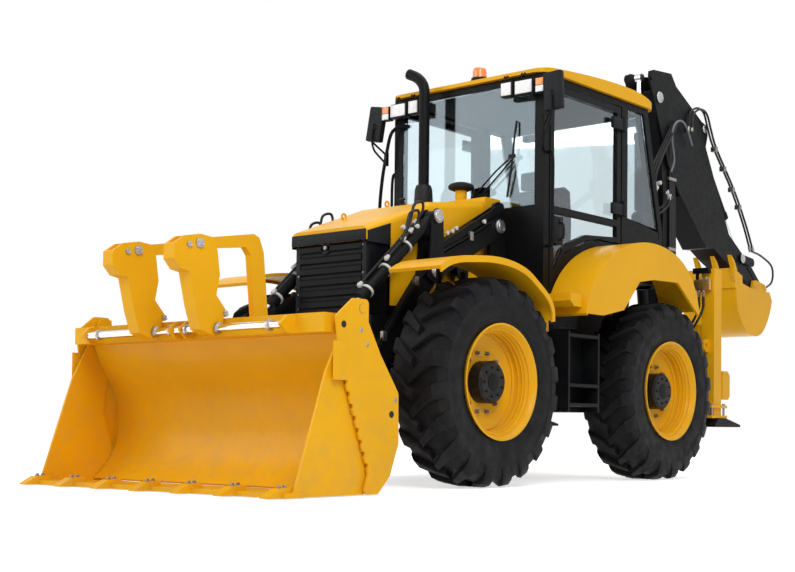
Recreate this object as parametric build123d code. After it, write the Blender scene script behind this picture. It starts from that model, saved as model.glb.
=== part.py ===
from build123d import *
import os
from math import atan2, cos, degrees, hypot, radians, sin

os.makedirs("parts", exist_ok=True)

# Backhoe loader, millimetres.  X forward, Y left, Z up, ground at Z = 0.
# Places are written from the middle of the rear axle; ORIGIN_X moves the
# finished pieces so that the machine's middle is at X = 0.

# ---- driving dimensions -------------------------------------------------
WHEELBASE = 2224
TYRE_R = 705
TYRE_HALF_W = 215
TYRE_BORE_R = 374
TRACK_HALF = 885
KINGPIN_Y = 680
KINGPIN_R = 25
SPINDLE_R = 60
HUB_R = 143
PIN_R = 25
SWING_PIN_R = 30
RUN = 0.05
GAP = 6
RAIL_Y = (300, 380)
RAIL_Z = (880, 1160)
HOOD_HALF = 360
CAB_HALF = 740
BUCKET_HALF = 1220
END_WALL = 15
END_IN = BUCKET_HALF - END_WALL
CHEEK_GAP = 14
CHEEK_WALL = 16
CHEEK_OUT = END_IN - CHEEK_GAP
CHEEK_IN = CHEEK_OUT - CHEEK_WALL
MOULD_HALF = CHEEK_IN - 10
TEETH = 7
TOOTH_HALF = 34
FORK_SHAFT_R = 22.5
FORK_LUG_Y = (915, 940)
BACKHOE_Y = 100
ORIGIN_X = 469

# ---- loader pivots in side view (x, z) ----------------------------------
ARM_Y = (395, 465)
TOWER_Y = (415, 445)
LEVER_Y = ((372, 388), (472, 488))
ARM_PIVOT = (1450, 1890)
KNEE = (2205, 1484)
LINK_BACK = (1421, 2037)
LINK_FRONT = (2176, 1631)
LEVER_TOP = (2185, 1872)
ARM_BEND = (3030, 505)
BUCKET_PIN = (3420, 280)
TILT_LUG = (3574, 650)
LIFT_BASE = (1350, 700)
LIFT_LUG = (1865, 1478)
JAW_PIVOT = (3725, 1075)
FORK_SHAFT = (4050, 977)
FORK_PIN = (4176, 1471)
FORK_Y = (239, 336)

# ---- backhoe pivots in side view (x, z) ---------------------------------
SWING_X = -1330
BOOM_FOOT = (-1545, 950)
BOOM_RAM_BASE = (-1270, 1170)
BOOM_LUG = (-1120, 2080)
DIPPER_RAM_BASE = (-1130, 2330)
DIPPER_PIN = (-1251, 3426)
DIPPER_LUG = (-1120, 3600)
BUCKET_RAM_BASE = (-2104, 3291)
TIP_LINK_PIN = (-2858, 2117)
DIG_PIN = (-3186, 1875)
DIG_LINK_LEN = 215
DIG_LINK_ANGLE = 185
RAM_EARS_Y = (63, 84)
BUCKET_SHAFT_R = 50
TILT_PIN_HEAD_R = 48
REAR_BEAM_X = (-1000, -860)
CARRIAGE_X = (-1035, -1005)
POST_X = (-975, -845)
POST_Y = (895, 1015)
POST_Z = (510, 1770)
STABILIZER_WALL = 12
LIFT_EYE = (-805, 1115)
LIFT_EYE_R = 20
LIFT_EYE_Y = (945, 965)
TOW_EYE = (2825, 0)
TOW_EYE_R = 24
TOW_EYE_Z = (985, 1015)
TOW_PLATE_HALF = 60
LIFT_EYE_ROOM = 118
STAY_X = (112, 150)
STAY_Y = (634, 654)
FENDER_OUT = 1100
FENDER_SKIN = 22
REAR_FENDER_SKIN = 26
ROOF_HALF = 770
SEAT_HALF = 240
DOOR_Y = (702, 745)
DOOR_BAR_Z = (2010, 2062)
HOOD_ROUND = 54
HOOD_WALL = 12
HOOD_HINGE = (1500, 2080)
HOOD_KNUCKLE_R = 10
NOSE_HALF = 338
EXHAUST_R = 42
NOSE_RIBS = 6
NOSE_RIB_PITCH = 77
NOSE_ROUND = 28


# ---- helpers ------------------------------------------------------------
def block(x0, x1, y0, y1, z0, z1):
    """Box between two corners."""
    centre = Pos((x0 + x1) / 2, (y0 + y1) / 2, (z0 + z1) / 2)
    return centre * Box(abs(x1 - x0), abs(y1 - y0), abs(z1 - z0))


def rod(start, end, radius):
    """Cylinder from one point to another."""
    run = Vector(*end) - Vector(*start)
    plane = Plane(origin=start, z_dir=run)
    return extrude(plane * Circle(radius), amount=run.length)


def pin(place, radius, y0, y1):
    """Cylinder along Y at a place (x, z) of the side view."""
    x, z = place
    return rod((x, y0, z), (x, y1, z), radius)


def plate(outline, y0, y1, radius=0):
    """Side-view outline (x, z) made solid from y0 to y1."""
    points = [(x, y0, z) for x, z in outline]
    if radius:
        edge = FilletPolyline(*points, radius=radius, close=True)
    else:
        edge = Polyline(*points, close=True)
    return extrude(make_face(edge), amount=y1 - y0, dir=(0, 1, 0))


def ribbon(path, thickness):
    """Closed outline of a sheet: its path, and the path moved aside."""
    aside = []
    for i, (x, z) in enumerate(path):
        before = path[max(i - 1, 0)]
        after = path[min(i + 1, len(path) - 1)]
        run = hypot(after[0] - before[0], after[1] - before[1])
        step = thickness / run
        aside.append((x - (after[1] - before[1]) * step, z + (after[0] - before[0]) * step))
    return list(path) + aside[::-1]


def curved_sheet(path, thickness, y0, y1):
    """Bent sheet along a smooth curve through the path."""
    outline = ribbon(path, thickness)
    near = Spline(*[(x, y0, z) for x, z in outline[:len(path)]])
    far = Spline(*[(x, y0, z) for x, z in outline[len(path):]])
    ends = [Line(near @ 1, far @ 0), Line(far @ 1, near @ 0)]
    return extrude(make_face([near, far] + ends), amount=y1 - y0, dir=(0, 1, 0))


def curved_plate(curve, rest, y0, y1):
    """Plate whose edge is a smooth curve, then straight runs through the rest."""
    near = Spline(*[(x, y0, z) for x, z in curve])
    corners = [curve[-1]] + list(rest) + [curve[0]]
    back = Polyline(*[(x, y0, z) for x, z in corners])
    return extrude(make_face([near, back]), amount=y1 - y0, dir=(0, 1, 0))


def rounded(shape, radius, *tests):
    """Rounds the edges whose centre passes every test."""
    edges = [e for e in shape.edges() if all(test(e.center()) for test in tests)]
    return fillet(edges, radius)


def arc(centre, radius, start, end, steps):
    """Points on an arc of the side view, angles in degrees."""
    turn = (end - start) / steps
    angles = [radians(start + turn * i) for i in range(steps + 1)]
    return [(centre[0] + radius * cos(a), centre[1] + radius * sin(a)) for a in angles]


def both(shape):
    """A piece and its mirror image on the other side."""
    return shape + mirror(shape, about=Plane.XZ)


def side_of(shape, side):
    """The left piece, or its mirror image when side is -1."""
    return shape if side > 0 else mirror(shape, about=Plane.XZ)


def bar(start, end, width, y0, y1):
    """Link with round ends between two places of the side view."""
    angle = degrees(atan2(end[1] - start[1], end[0] - start[0]))
    rounded = arc(end, width / 2, angle - 90, angle + 90, 8)
    rounded += arc(start, width / 2, angle + 90, angle + 270, 8)
    return plate(rounded, y0, y1)


def along(start, end, share):
    """Place on the way from start to end."""
    return tuple(a + (b - a) * share for a, b in zip(start, end))


def step_from(place, angle, length):
    """Place at a distance and an angle in degrees."""
    return (place[0] + length * cos(radians(angle)), place[1] + length * sin(radians(angle)))


def save(name, shape):
    export_step(Pos(-ORIGIN_X, 0, 0) * shape, f"parts/{name}.step")


# ---- wheels, knuckles and axles -----------------------------------------
def turned(profile, x, y, sign):
    """Ring from a profile of (radius, outward) about a wheel's axle."""
    points = [(x, y + sign * out, TYRE_R + r) for r, out in profile]
    face = make_face(Polyline(*points, close=True))
    return revolve(face, Axis((x, 0, TYRE_R), (0, 1, 0)), 360)


def tyre(x, side):
    profile = [  # radius, outward
        (TYRE_BORE_R, -180), (TYRE_BORE_R + 16, -196), (450, -208), (520, -TYRE_HALF_W),
        (600, -213), (655, -205), (690, -188), (TYRE_R, -160),
        (TYRE_R, 160), (690, 188), (655, 205), (600, 213),
        (520, TYRE_HALF_W), (450, 208), (TYRE_BORE_R + 16, 196), (TYRE_BORE_R, 180)]
    return turned(profile, x, side * TRACK_HALF, side)


def rim(x, side):
    profile = [  # radius, outward: barrel, stepped disc and hub with its bore
        (TYRE_BORE_R, -180), (TYRE_BORE_R, 180), (TYRE_BORE_R + 13, 197), (392, 212),
        (380, 212), (362, 190), (340, 150), (335, 60), (318, 50), (300, 44), (240, 30),
        (HUB_R, 26), (HUB_R, 118), (HUB_R - 18, 134), (60, 136), (0.5, 136), (0.5, 4),
        (SPINDLE_R + RUN, 4), (SPINDLE_R + RUN, -76), (120, -76), (130, 0), (230, 10),
        (310, 26), (322, 40), (352, -160), (362, -190), (380, -212), (392, -212),
        (TYRE_BORE_R + 13, -197)]
    return turned(profile, x, side * TRACK_HALF, side)


def knuckle(x):
    """Left swivel: body on kingpins, hub flange and spindle."""
    body = rod((x, KINGPIN_Y, TYRE_R - 110), (x, KINGPIN_Y, TYRE_R + 110), 82)
    body += rod((x, KINGPIN_Y, TYRE_R - 160), (x, KINGPIN_Y, TYRE_R + 160), KINGPIN_R)
    body += rod((x, KINGPIN_Y, TYRE_R), (x, 800, TYRE_R), 108)
    body += rod((x, 790, TYRE_R), (x, 882, TYRE_R), SPINDLE_R)
    body += block(x - 190, x - 60, 640, 664, TYRE_R - 20, TYRE_R + 20)
    return body


def fender_stay(x):
    """Two straps that carry the left front fender from its knuckle."""
    strap = block(x - STAY_X[1], x - STAY_X[0], *STAY_Y, TYRE_R - 60, 1480)
    strap += block(x + STAY_X[0], x + STAY_X[1], *STAY_Y, TYRE_R - 60, 1490)
    return strap + block(x - STAY_X[1], x + STAY_X[1], *STAY_Y, TYRE_R - 60, TYRE_R + 60)


def axle(x):
    beam = rod((x, -560, TYRE_R), (x, 560, TYRE_R), 72)
    beam += Pos(x, 0, TYRE_R) * Sphere(165)
    beam += rod((x - 235, 0, TYRE_R), (x, 0, TYRE_R), 80)
    yoke = block(x - 66, x + 66, 540, 586, TYRE_R - 158, TYRE_R + 158)
    for low, high in ((-158, -118), (118, 158)):
        yoke += block(x - 66, x + 66, 560, KINGPIN_Y, TYRE_R + low, TYRE_R + high)
        yoke += rod((x, KINGPIN_Y, TYRE_R + low), (x, KINGPIN_Y, TYRE_R + high), 66)
    yoke -= rod((x, KINGPIN_Y, 400), (x, KINGPIN_Y, 1000), KINGPIN_R + RUN)
    yoke += block(x - 110, x + 110, RAIL_Y[0], RAIL_Y[1], TYRE_R, RAIL_Z[0])
    return beam + both(yoke)


# name, x of the axle, side (+1 left)
WHEELS = (("front_left", WHEELBASE, 1), ("front_right", WHEELBASE, -1),
          ("rear_left", 0, 1), ("rear_right", 0, -1))

for place, wheel_x, wheel_side in WHEELS:
    save(f"tyre_{place}", tyre(wheel_x, wheel_side))
    save(f"rim_{place}", rim(wheel_x, wheel_side))
    swivel = knuckle(wheel_x)
    if wheel_x:
        swivel += fender_stay(wheel_x)
    save(f"knuckle_{place}", side_of(swivel, wheel_side))

save("axles", axle(WHEELBASE) + axle(0))

FENDER_TOP = [  # x, z along the top from front to rear
    (2886, 1417), (2747, 1484), (2546, 1515), (2346, 1531), (2073, 1512), (1930, 1470),
    (1824, 1410), (1641, 1255), (1628, 1157)]
fender_skin = curved_sheet(FENDER_TOP, FENDER_SKIN, 662, FENDER_OUT)
lip_path = [(x, z - 10) for x, z in FENDER_TOP]
fender_skin += curved_sheet(lip_path, 34, FENDER_OUT - 14, FENDER_OUT)
for place, wheel_side in (("left", 1), ("right", -1)):
    save(f"front_fender_{place}", side_of(fender_skin, wheel_side))


# ---- chassis ------------------------------------------------------------
def tower():
    """Left loader tower with the arm's and the level link's holes."""
    outline = [(1285, 880), (1340, 880), (1400, 1050), (1530, 1500), (1528, 1890),
               (1470, 2060), (1421, 2084), (1372, 2060), (1368, 1890), (1285, 1450)]
    body = plate(outline, *TOWER_Y, radius=18)
    body -= pin(ARM_PIVOT, PIN_R + RUN, 300, 500)
    body -= pin(LINK_BACK, PIN_R + RUN, 300, 500)
    body += block(1180, 1340, RAIL_Y[0], TOWER_Y[1], 880, 1160)
    hanger = block(1280, 1420, RAIL_Y[0], 385, 600, 880)
    hanger += block(1280, 1420, 380, 472, 600, 640)
    for ear_y in ((384, 404), (456, 472)):
        hanger += bar((1350, 640), LIFT_BASE, 84, *ear_y)
    hanger -= pin(LIFT_BASE, PIN_R + RUN, 300, 500)
    return body + hanger


frame = block(REAR_BEAM_X[1], 2640, *RAIL_Y, *RAIL_Z)
frame += block(2560, 2740, 0, RAIL_Y[1], 900, 1150)
frame += block(1500, 1580, 0, RAIL_Y[1], 900, 1100)
frame += block(700, 780, 0, RAIL_Y[1], 900, 1100)
tow_plate = block(2720, TOW_EYE[0], 0, TOW_PLATE_HALF, *TOW_EYE_Z)
tow_plate += rod((*TOW_EYE, TOW_EYE_Z[0]), (*TOW_EYE, TOW_EYE_Z[1]), TOW_PLATE_HALF)
frame += tow_plate - rod((*TOW_EYE, 900), (*TOW_EYE, 1100), TOW_EYE_R)
frame += tower()
save("chassis_frame", both(frame))

rear = block(*REAR_BEAM_X, *RAIL_Y, 690, 1160)
for beam_z in ((550, 700), (1150, 1300)):
    rear += block(*REAR_BEAM_X, 0, POST_Y[0] + 5, *beam_z)
post = block(*POST_X, *POST_Y, *POST_Z)
post -= block(POST_X[0] + STABILIZER_WALL, POST_X[1] - STABILIZER_WALL,
              POST_Y[0] + STABILIZER_WALL, POST_Y[1] - STABILIZER_WALL,
              POST_Z[0] - 1, POST_Z[1] - STABILIZER_WALL)
rear += post
lift_eye = plate([(-852, 1060), (-810, 1060), (-770, 1085), (-770, 1145), (-810, 1170), (-852, 1170)],
                 *LIFT_EYE_Y, radius=8)
rear += lift_eye - pin(LIFT_EYE, LIFT_EYE_R, 900, 1000)
save("rear_frame", both(rear))

leg_gap = STABILIZER_WALL + GAP
stabilizer = block(POST_X[0] + leg_gap, POST_X[1] - leg_gap,
                   POST_Y[0] + leg_gap, POST_Y[1] - leg_gap, 480, 1640)
foot_outline = [(-1240, 426), (-790, 426), (-790, 446), (-850, 500), (-980, 500), (-1240, 446)]
stabilizer += plate(foot_outline, 850, 1060)
save("stabilizer_left", stabilizer)
save("stabilizer_right", mirror(stabilizer, about=Plane.XZ))

save("engine_block", block(1620, 2440, -240, 240, 1165, 1800))

STEP_TREADS = (560, 700, 1060)
tank = block(980, 1385, 520, 900, 520, 1100)
for wall_x in ((980, 1000), (1365, 1385)):
    tank += block(*wall_x, 890, 1050, 520, 1100)
for tread_z in STEP_TREADS:
    tank += block(990, 1375, 890, 1050, tread_z, tread_z + 24)
sill = plate([(1235, 1280), (1330, 1280), (1380, 1320), (1380, 1375), (1235, 1375)], 755, 1060)
sill_leg = block(1280, 1340, 755, 800, 1100, 1290)
tank_stay = block(1000, 1120, RAIL_Y[1], 530, 900, 1060)
save("step_tanks", both(tank + tank_stay))

REAR_FENDER_TOP = [  # x, z from front to rear
    (1238, 1235), (970, 1639), (658, 1793), (115, 1830), (-139, 1753), (-430, 1381)]
REAR_ARCH = [(-430, 1330), (-84, 1573), (288, 1562), (496, 1527), (723, 1295), (1000, 1235)]
rear_fender = curved_sheet(REAR_FENDER_TOP[::-1], -REAR_FENDER_SKIN, 746, FENDER_OUT)
rear_fender += curved_plate(REAR_FENDER_TOP, REAR_ARCH, FENDER_OUT - 22, FENDER_OUT)
save("rear_fenders", both(rear_fender + sill + sill_leg))

# ---- hood, nose and stacks ----------------------------------------------
HOOD_SIDE = [(1506, 1230), (2524, 1230), (2524, 1690), (2756, 1690), (2756, 1655), (2770, 1655),
             (2770, 1752), (2100, 2000), (1506, 2085)]
hood = plate(HOOD_SIDE, -HOOD_HALF, HOOD_HALF)
hood = rounded(hood, HOOD_ROUND, lambda c: abs(c.Y) > HOOD_HALF - 1, lambda c: c.Z > 1755)
hood -= plate([(1400, 1200), (2600, 1200), (2600, 1660), (2550, 1780), (2092, 1974), (1400, 2066)],
              -HOOD_HALF + HOOD_WALL, HOOD_HALF - HOOD_WALL)
hood += both(pin(HOOD_HINGE, HOOD_KNUCKLE_R, 100, 210))
save("hood_lid", hood)

cowl = plate([(1300, 1165), (1494, 1165), (1494, 2087), (1478, 2120), (1300, 2120)], -HOOD_HALF, HOOD_HALF)
cowl -= block(1320, 1500, -HOOD_HALF + 24, HOOD_HALF - 24, 1100, 2060)
cowl -= both(pin(HOOD_HINGE, HOOD_KNUCKLE_R + 5, 92, 218))
save("hood_cowl", cowl)

nose = block(2536, 2742, -NOSE_HALF, NOSE_HALF, 1165, 1676)
nose -= block(2560, 2722, -NOSE_HALF + 24, NOSE_HALF - 24, 1190, 1652)
nose = rounded(nose, NOSE_ROUND, lambda c: abs(c.Y) > NOSE_HALF - 1, lambda c: c.X > 2741)
for row in range(NOSE_RIBS):
    rib_z = 1205 + row * NOSE_RIB_PITCH
    rib = [(2738, rib_z), (2738, rib_z + 66), (2754, rib_z + 50), (2754, rib_z + 16)]
    nose += plate(rib, -NOSE_HALF + 46, NOSE_HALF - 46)
save("grille", nose)

EXHAUST = (1420, -300)
bend = Spline((*EXHAUST, 3000), (1420, -322, 3085), (1420, -385, 3145), (1420, -462, 3182),
              tangents=[(0, 0, 1), (0, -0.9, 0.42)])
stacks = rod((*EXHAUST, 2120), (*EXHAUST, 2225), 66)
stacks += Pos(*EXHAUST, 2260) * Cone(66, EXHAUST_R, 70)
stacks += rod((*EXHAUST, 2230), (*EXHAUST, 3000), EXHAUST_R)
stacks += sweep(Plane(origin=bend @ 0, z_dir=bend % 0) * Circle(EXHAUST_R), path=bend)
intake = rod((1400, 60, 2120), (1400, 60, 2215), 44)
intake += Pos(1400, 60, 2222) * Cone(60, 95, 22)
intake += Pos(1400, 60, 2246) * Cone(95, 62, 26)
save("exhaust_and_intake", stacks + intake)

# ---- cab ----------------------------------------------------------------
DOOR_LOW = [(1195, 1440), (1165, 1485), (1000, 1725), (900, 1775), (700, 1852), (530, 1882), (215, 1882)]
PANEL_LOW = [(x, z - 12) for x, z in DOOR_LOW]

cab = block(-340, 1250, 0, 450, 1165, 1215) + block(820, 1250, 0, CAB_HALF, 1165, 1215)
cab += plate(ribbon([(870, 1180), (500, 1600), (-410, 1600)], -22), 450, CAB_HALF)
cab += block(-340, 850, 440, 462, 1165, 1610)
side_panel = [(1200, 1428)] + PANEL_LOW[1:] + [(190, 1870), (190, 1600), (500, 1600), (860, 1180),
                                               (1200, 1180)]
cab += plate(side_panel, 700, CAB_HALF)
cab += block(1200, 1270, 655, CAB_HALF, 1165, 2985)
cab += block(105, 190, 655, CAB_HALF, 1600, 2985)
cab += plate([(-430, 1600), (105, 1600), (105, 2100), (-378, 2040)], 700, CAB_HALF)
cab += plate([(-440, 1600), (-380, 1600), (-390, 2040), (-140, 2985), (-210, 2985), (-450, 2040)],
             655, CAB_HALF)
cab += block(-210, 1270, 655, CAB_HALF, 2985, 3040)
cab += block(1210, 1270, 0, CAB_HALF, 2985, 3040) + block(-210, -140, 0, CAB_HALF, 2985, 3040)
cab += block(1250, 1270, 0, 660, 1165, 2060)
cab += plate([(-340, 1165), (-310, 1165), (-400, 1620), (-430, 1620)], 0, 450)
cab += plate([(-435, 1578), (-400, 1578), (-375, 2040), (-435, 2040), (-440, 1600)], 0, 660)
for hinge_z in (2170, 2840):
    for low in (-52, 34):
        cab += block(160, 200, 730, 772, hinge_z + low, hinge_z + low + 18)
        cab += rod((200, 760, hinge_z + low), (200, 760, hinge_z + low + 18), 16)
    cab += rod((200, 760, hinge_z - 52), (200, 760, hinge_z + 52), 8)
save("cab_frame", both(cab))

roof = curved_plate([(1310, 3070), (960, 3104), (560, 3134), (160, 3146), (-150, 3118), (-300, 3060)],
                    [(-300, 3042), (1310, 3042)], -ROOF_HALF, ROOF_HALF)
roof = roof & Pos(505, 0, 3000) * extrude(RectangleRounded(1610, 2 * ROOF_HALF, 120), amount=200)
save("cab_roof", roof)

windscreen = block(1252, 1262, -652, 652, 2064, 2982)
rear_glass = plate([(-425, 2050), (-415, 2050), (-172, 2980), (-182, 2980)], -650, 650)
quarter = plate([(-370, 2068), (98, 2108), (98, 2980), (-130, 2980)], 716, 724)
save("cab_windows", windscreen + rear_glass + both(quarter))

DOOR = [(1195, 2975)] + DOOR_LOW + [(215, 2975)]
DOOR_HOLE = [(1145, 2920), (1145, 1575), (1030, 1750), (920, 1815), (715, 1893), (270, 1925), (270, 2920)]
door = plate(DOOR, *DOOR_Y) - plate(DOOR_HOLE, 690, 760)
door_bar = block(230, 1180, *DOOR_Y, *DOOR_BAR_Z)
door += door_bar
for hinge_z in (2170, 2840):
    ear = rod((200, 760, hinge_z - 30), (200, 760, hinge_z + 30), 15)
    ear += block(200, 240, 745, 760, hinge_z - 30, hinge_z + 30)
    ear += block(222, 260, 730, 760, hinge_z - 30, hinge_z + 30)
    ear -= rod((200, 760, hinge_z - 40), (200, 760, hinge_z + 40), 8 + RUN)
    door += ear
pane = plate(DOOR_HOLE, 719, 725) - door_bar
for place, door_side in (("left", 1), ("right", -1)):
    save(f"door_{place}", side_of(door, door_side))
    save(f"door_glass_{place}", side_of(pane, door_side))

seat = block(250, 700, -SEAT_HALF, SEAT_HALF, 1620, 1740)
seat += block(200, 300, -SEAT_HALF, SEAT_HALF, 1735, 2350)
seat += block(330, 620, -160, 160, 1216, 1625)

column = block(1010, 1240, -150, 150, 1216, 1900)
column += rod((1020, 0, 1850), (900, 0, 2010), 30)
wheel_plane = Plane(origin=(900, 0, 2010), z_dir=(-120, 0, 160))
column += wheel_plane * Torus(190, 15)
column += wheel_plane * Box(380, 34, 18)
save("cab_interior", seat + column)


# ---- loader arms and their linkage --------------------------------------
def arm_outline(half_rear, half_tip):
    """Outline round the arm's bent centre line."""
    top = [step_from(ARM_PIVOT, 62, half_rear), step_from(KNEE, 55, half_rear),
           step_from(ARM_BEND, 50, half_rear * 0.9), step_from(BUCKET_PIN, 58, half_tip)]
    low = [step_from(BUCKET_PIN, 238, half_tip), step_from(ARM_BEND, 230, half_rear * 0.9),
           step_from(KNEE, 235, half_rear), step_from(ARM_PIVOT, 242, half_rear)]
    return top + low


arm = plate(arm_outline(72, 50), *ARM_Y)
arm += pin(ARM_PIVOT, 70, *ARM_Y) + pin(BUCKET_PIN, 50, *ARM_Y) + pin(KNEE, 80, *ARM_Y)
arm += plate([(1790, 1640), (1950, 1560), (1915, 1460), (1865, 1428), (1815, 1460)], *ARM_Y, radius=12)
slot_end = along(ARM_PIVOT, KNEE, 0.33)
arm -= bar(step_from(ARM_PIVOT, 151.7, 200), slot_end, 190, 409, 451)
arm -= pin(LIFT_LUG, LIFT_EYE_ROOM, 404, 456)
arm -= bar(LIFT_LUG, step_from(LIFT_LUG, 235, 160), 2 * LIFT_EYE_ROOM, 404, 456)
for cap_y in ((385, 404), (456, 475)):
    arm += pin(LIFT_LUG, 34, *cap_y)
arm -= pin(BUCKET_PIN, PIN_R + RUN, 300, 500)
arm += pin(ARM_PIVOT, PIN_R, 394, 478)
arm += pin(KNEE, PIN_R, LEVER_Y[0][0] - 2, LEVER_Y[1][1] + 6)
arm += rod((2900, 0, 715), (2900, 400, 715), 62)
arm += block(2830, 2970, 330, 396, 640, 790)
save("loader_arms", both(arm))

lever_outline = [(2120, 1440), (2205, 1395), (2290, 1440), (2262, 1640), (2250, 1880),
                 (2185, 1935), (2125, 1880), (2110, 1640)]
lever = Part()
for lever_y in LEVER_Y:
    lever += plate(lever_outline, *lever_y, radius=24)
lever -= pin(KNEE, PIN_R + RUN, 300, 520)
lever -= pin(LINK_FRONT, PIN_R + RUN, 300, 520)
lever -= pin(LEVER_TOP, PIN_R + RUN, 300, 520)
lever += block(2120, 2152, LEVER_Y[0][0], LEVER_Y[1][1], 1712, 1752)
save("levers", both(lever))

link = bar(LINK_BACK, LINK_FRONT, 50, ARM_Y[0], ARM_Y[0] + 14)
link += bar(LINK_BACK, LINK_FRONT, 50, ARM_Y[1] - 14, ARM_Y[1])
for place in (LINK_BACK, LINK_FRONT):
    link += pin(place, 33, ARM_Y[0], ARM_Y[0] + 14) + pin(place, 33, ARM_Y[1] - 14, ARM_Y[1])
link += bar(along(LINK_BACK, LINK_FRONT, 0.38), along(LINK_BACK, LINK_FRONT, 0.9), 44, *ARM_Y)
link += pin(LINK_BACK, PIN_R, ARM_Y[0], ARM_Y[1])
link += pin(LINK_FRONT, PIN_R, LEVER_Y[0][0], LEVER_Y[1][1])
save("level_links", both(link))


def barrel(base, eye, length, radius, y, eye_half):
    """Ram tube from its base eye towards the rod's eye."""
    run = hypot(eye[0] - base[0], eye[1] - base[1])
    ahead = ((eye[0] - base[0]) / run, (eye[1] - base[1]) / run)
    inner = radius * 0.62 + 1
    start = (base[0] + ahead[0] * (radius + 12), y, base[1] + ahead[1] * (radius + 12))
    mouth = (base[0] + ahead[0] * length, y, base[1] + ahead[1] * length)
    floor = (base[0] + ahead[0] * (radius + 45), y, base[1] + ahead[1] * (radius + 45))
    gland = (base[0] + ahead[0] * (length - 60), y, base[1] + ahead[1] * (length - 60))
    tube = rod(start, mouth, radius) + rod(gland, mouth, radius + 7)
    tube += pin(base, radius, y - eye_half, y + eye_half)
    tube += rod((base[0], y, base[1]), start, eye_half - 3)
    tube -= rod(floor, (mouth[0] + ahead[0], y, mouth[2] + ahead[1]), inner)
    return tube - pin(base, PIN_R + RUN, y - 200, y + 200)


def ram_rod(base, eye, inside, radius, y, eye_half, eye_r):
    """Chrome rod and its eye, which runs free between its ears."""
    run = hypot(eye[0] - base[0], eye[1] - base[1])
    ahead = ((eye[0] - base[0]) / run, (eye[1] - base[1]) / run)
    start = (base[0] + ahead[0] * inside, y, base[1] + ahead[1] * inside)
    body = rod(start, (eye[0], y, eye[1]), radius)
    return body + pin(eye, eye_r, y - eye_half, y + eye_half)


RAM_Y = (ARM_Y[0] + ARM_Y[1]) / 2
tilt_pin = pin(LEVER_TOP, PIN_R, LEVER_Y[0][0] - 2, LEVER_Y[1][1] + 6)
tilt_pin += pin(LEVER_TOP, TILT_PIN_HEAD_R, LEVER_Y[1][1] + 1, LEVER_Y[1][1] + 13)
save("tilt_pins", both(tilt_pin))
save("tilt_barrels", both(barrel(LEVER_TOP, TILT_LUG, 960, 40, RAM_Y, 30)))
save("tilt_rods", both(ram_rod(LEVER_TOP, TILT_LUG, 700, 24, RAM_Y, 24, 36)))
save("lift_barrels", both(barrel(LIFT_BASE, LIFT_LUG, 790, 40, RAM_Y, 20)))
save("lift_rods", both(ram_rod(LIFT_BASE, LIFT_LUG, 740, 24, RAM_Y, 20, 38)))

# ---- front bucket -------------------------------------------------------
save("bucket_pins", pin(BUCKET_PIN, PIN_R, -494, 494) + pin(BUCKET_PIN, BUCKET_SHAFT_R, -362, 362))

MOULD_CENTRE = (4065, 420)
MOULD_R = 455
mould_front = [(3814, 36)] + arc(MOULD_CENTRE, MOULD_R, 226, 149, 11) + [(3826, 934)]
mouldboard = curved_sheet(mould_front, 12, -MOULD_HALF, MOULD_HALF)
back = mouldboard + block(3740, 3980, -MOULD_HALF, MOULD_HALF, 930, 1040)
back += block(3488, 3602, -END_IN - 5, END_IN + 5, 240, 550)
SCALLOPS = 9
SCALLOP_R = 17
END_EDGE_LOW = (3658, 125)
END_EDGE_HIGH = (3902, 765)
END_PLATE = [(3800, 1130), (3672, 1130), (3672, 1000), (3565, 816), (3407, 597), (3402, 300),
             (3474, 112), (3578, 8), (3700, 8), END_EDGE_LOW, END_EDGE_HIGH, (3938, 1021)]
end_plate = plate(END_PLATE, END_IN, BUCKET_HALF, radius=28)
end_plate -= pin(JAW_PIVOT, PIN_R + RUN, CHEEK_IN, BUCKET_HALF + 20)
for notch in range(SCALLOPS):
    share = (notch + 0.7) / (SCALLOPS + 0.4)
    end_plate -= pin(along(END_EDGE_LOW, END_EDGE_HIGH, share), SCALLOP_R, CHEEK_IN, BUCKET_HALF + 20)
back += both(end_plate)
LUG = [(3602, 180), (3440, 225), (3372, 262), (3368, 310), (3410, 420), (3545, 690), (3640, 720), (3700, 760)]
for lug_y in ((368, 388), (472, 492)):
    lug = plate(LUG + [(3640, 640), (3602, 440)], *lug_y)
    lug -= pin(BUCKET_PIN, PIN_R + RUN, 300, 520)
    back += both(lug)
for cap_y in ((358, 388), (472, 502)):
    back += both(pin(TILT_LUG, 36, *cap_y))
fork_lug = plate([(3980, 927), (4045, 927), (4100, 977), (4045, 1027), (3980, 1040)], *FORK_LUG_Y, radius=8)
back += both(fork_lug) + both(plate([(3970, 927), (4045, 927), (4100, 977), (4045, 1027), (3970, 1040)],
                                    40, 60, radius=8))
back += pin(FORK_SHAFT, FORK_SHAFT_R, -FORK_LUG_Y[1], FORK_LUG_Y[1])
save("bucket_back", back)

JAW_CHEEK = [(3680, 1112), (3770, 1112), (3985, 705), (4212, 48), (4251, 8), (3668, 8), (3625, 120),
             (3735, 470), (3690, 900)]
jaw = both(plate(JAW_CHEEK, CHEEK_IN, CHEEK_OUT) + pin(JAW_PIVOT, 48, CHEEK_IN, CHEEK_OUT + 6))
jaw += block(3790, 4200, -CHEEK_OUT, CHEEK_OUT, 8, 24)
jaw += block(4150, 4290, -CHEEK_OUT - 4, CHEEK_OUT + 4, 6, 34)
teeth_half = BUCKET_HALF - 90
for tooth in range(TEETH):
    tooth_y = -teeth_half + tooth * 2 * teeth_half / (TEETH - 1)
    jaw += plate([(4200, 34), (4200, 66), (4300, 60), (4385, 14), (4385, 6), (4285, 6)],
                 tooth_y - TOOTH_HALF, tooth_y + TOOTH_HALF)
jaw += both(pin(JAW_PIVOT, PIN_R, CHEEK_OUT - 1, BUCKET_HALF + 6))
save("jaw", jaw)

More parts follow.
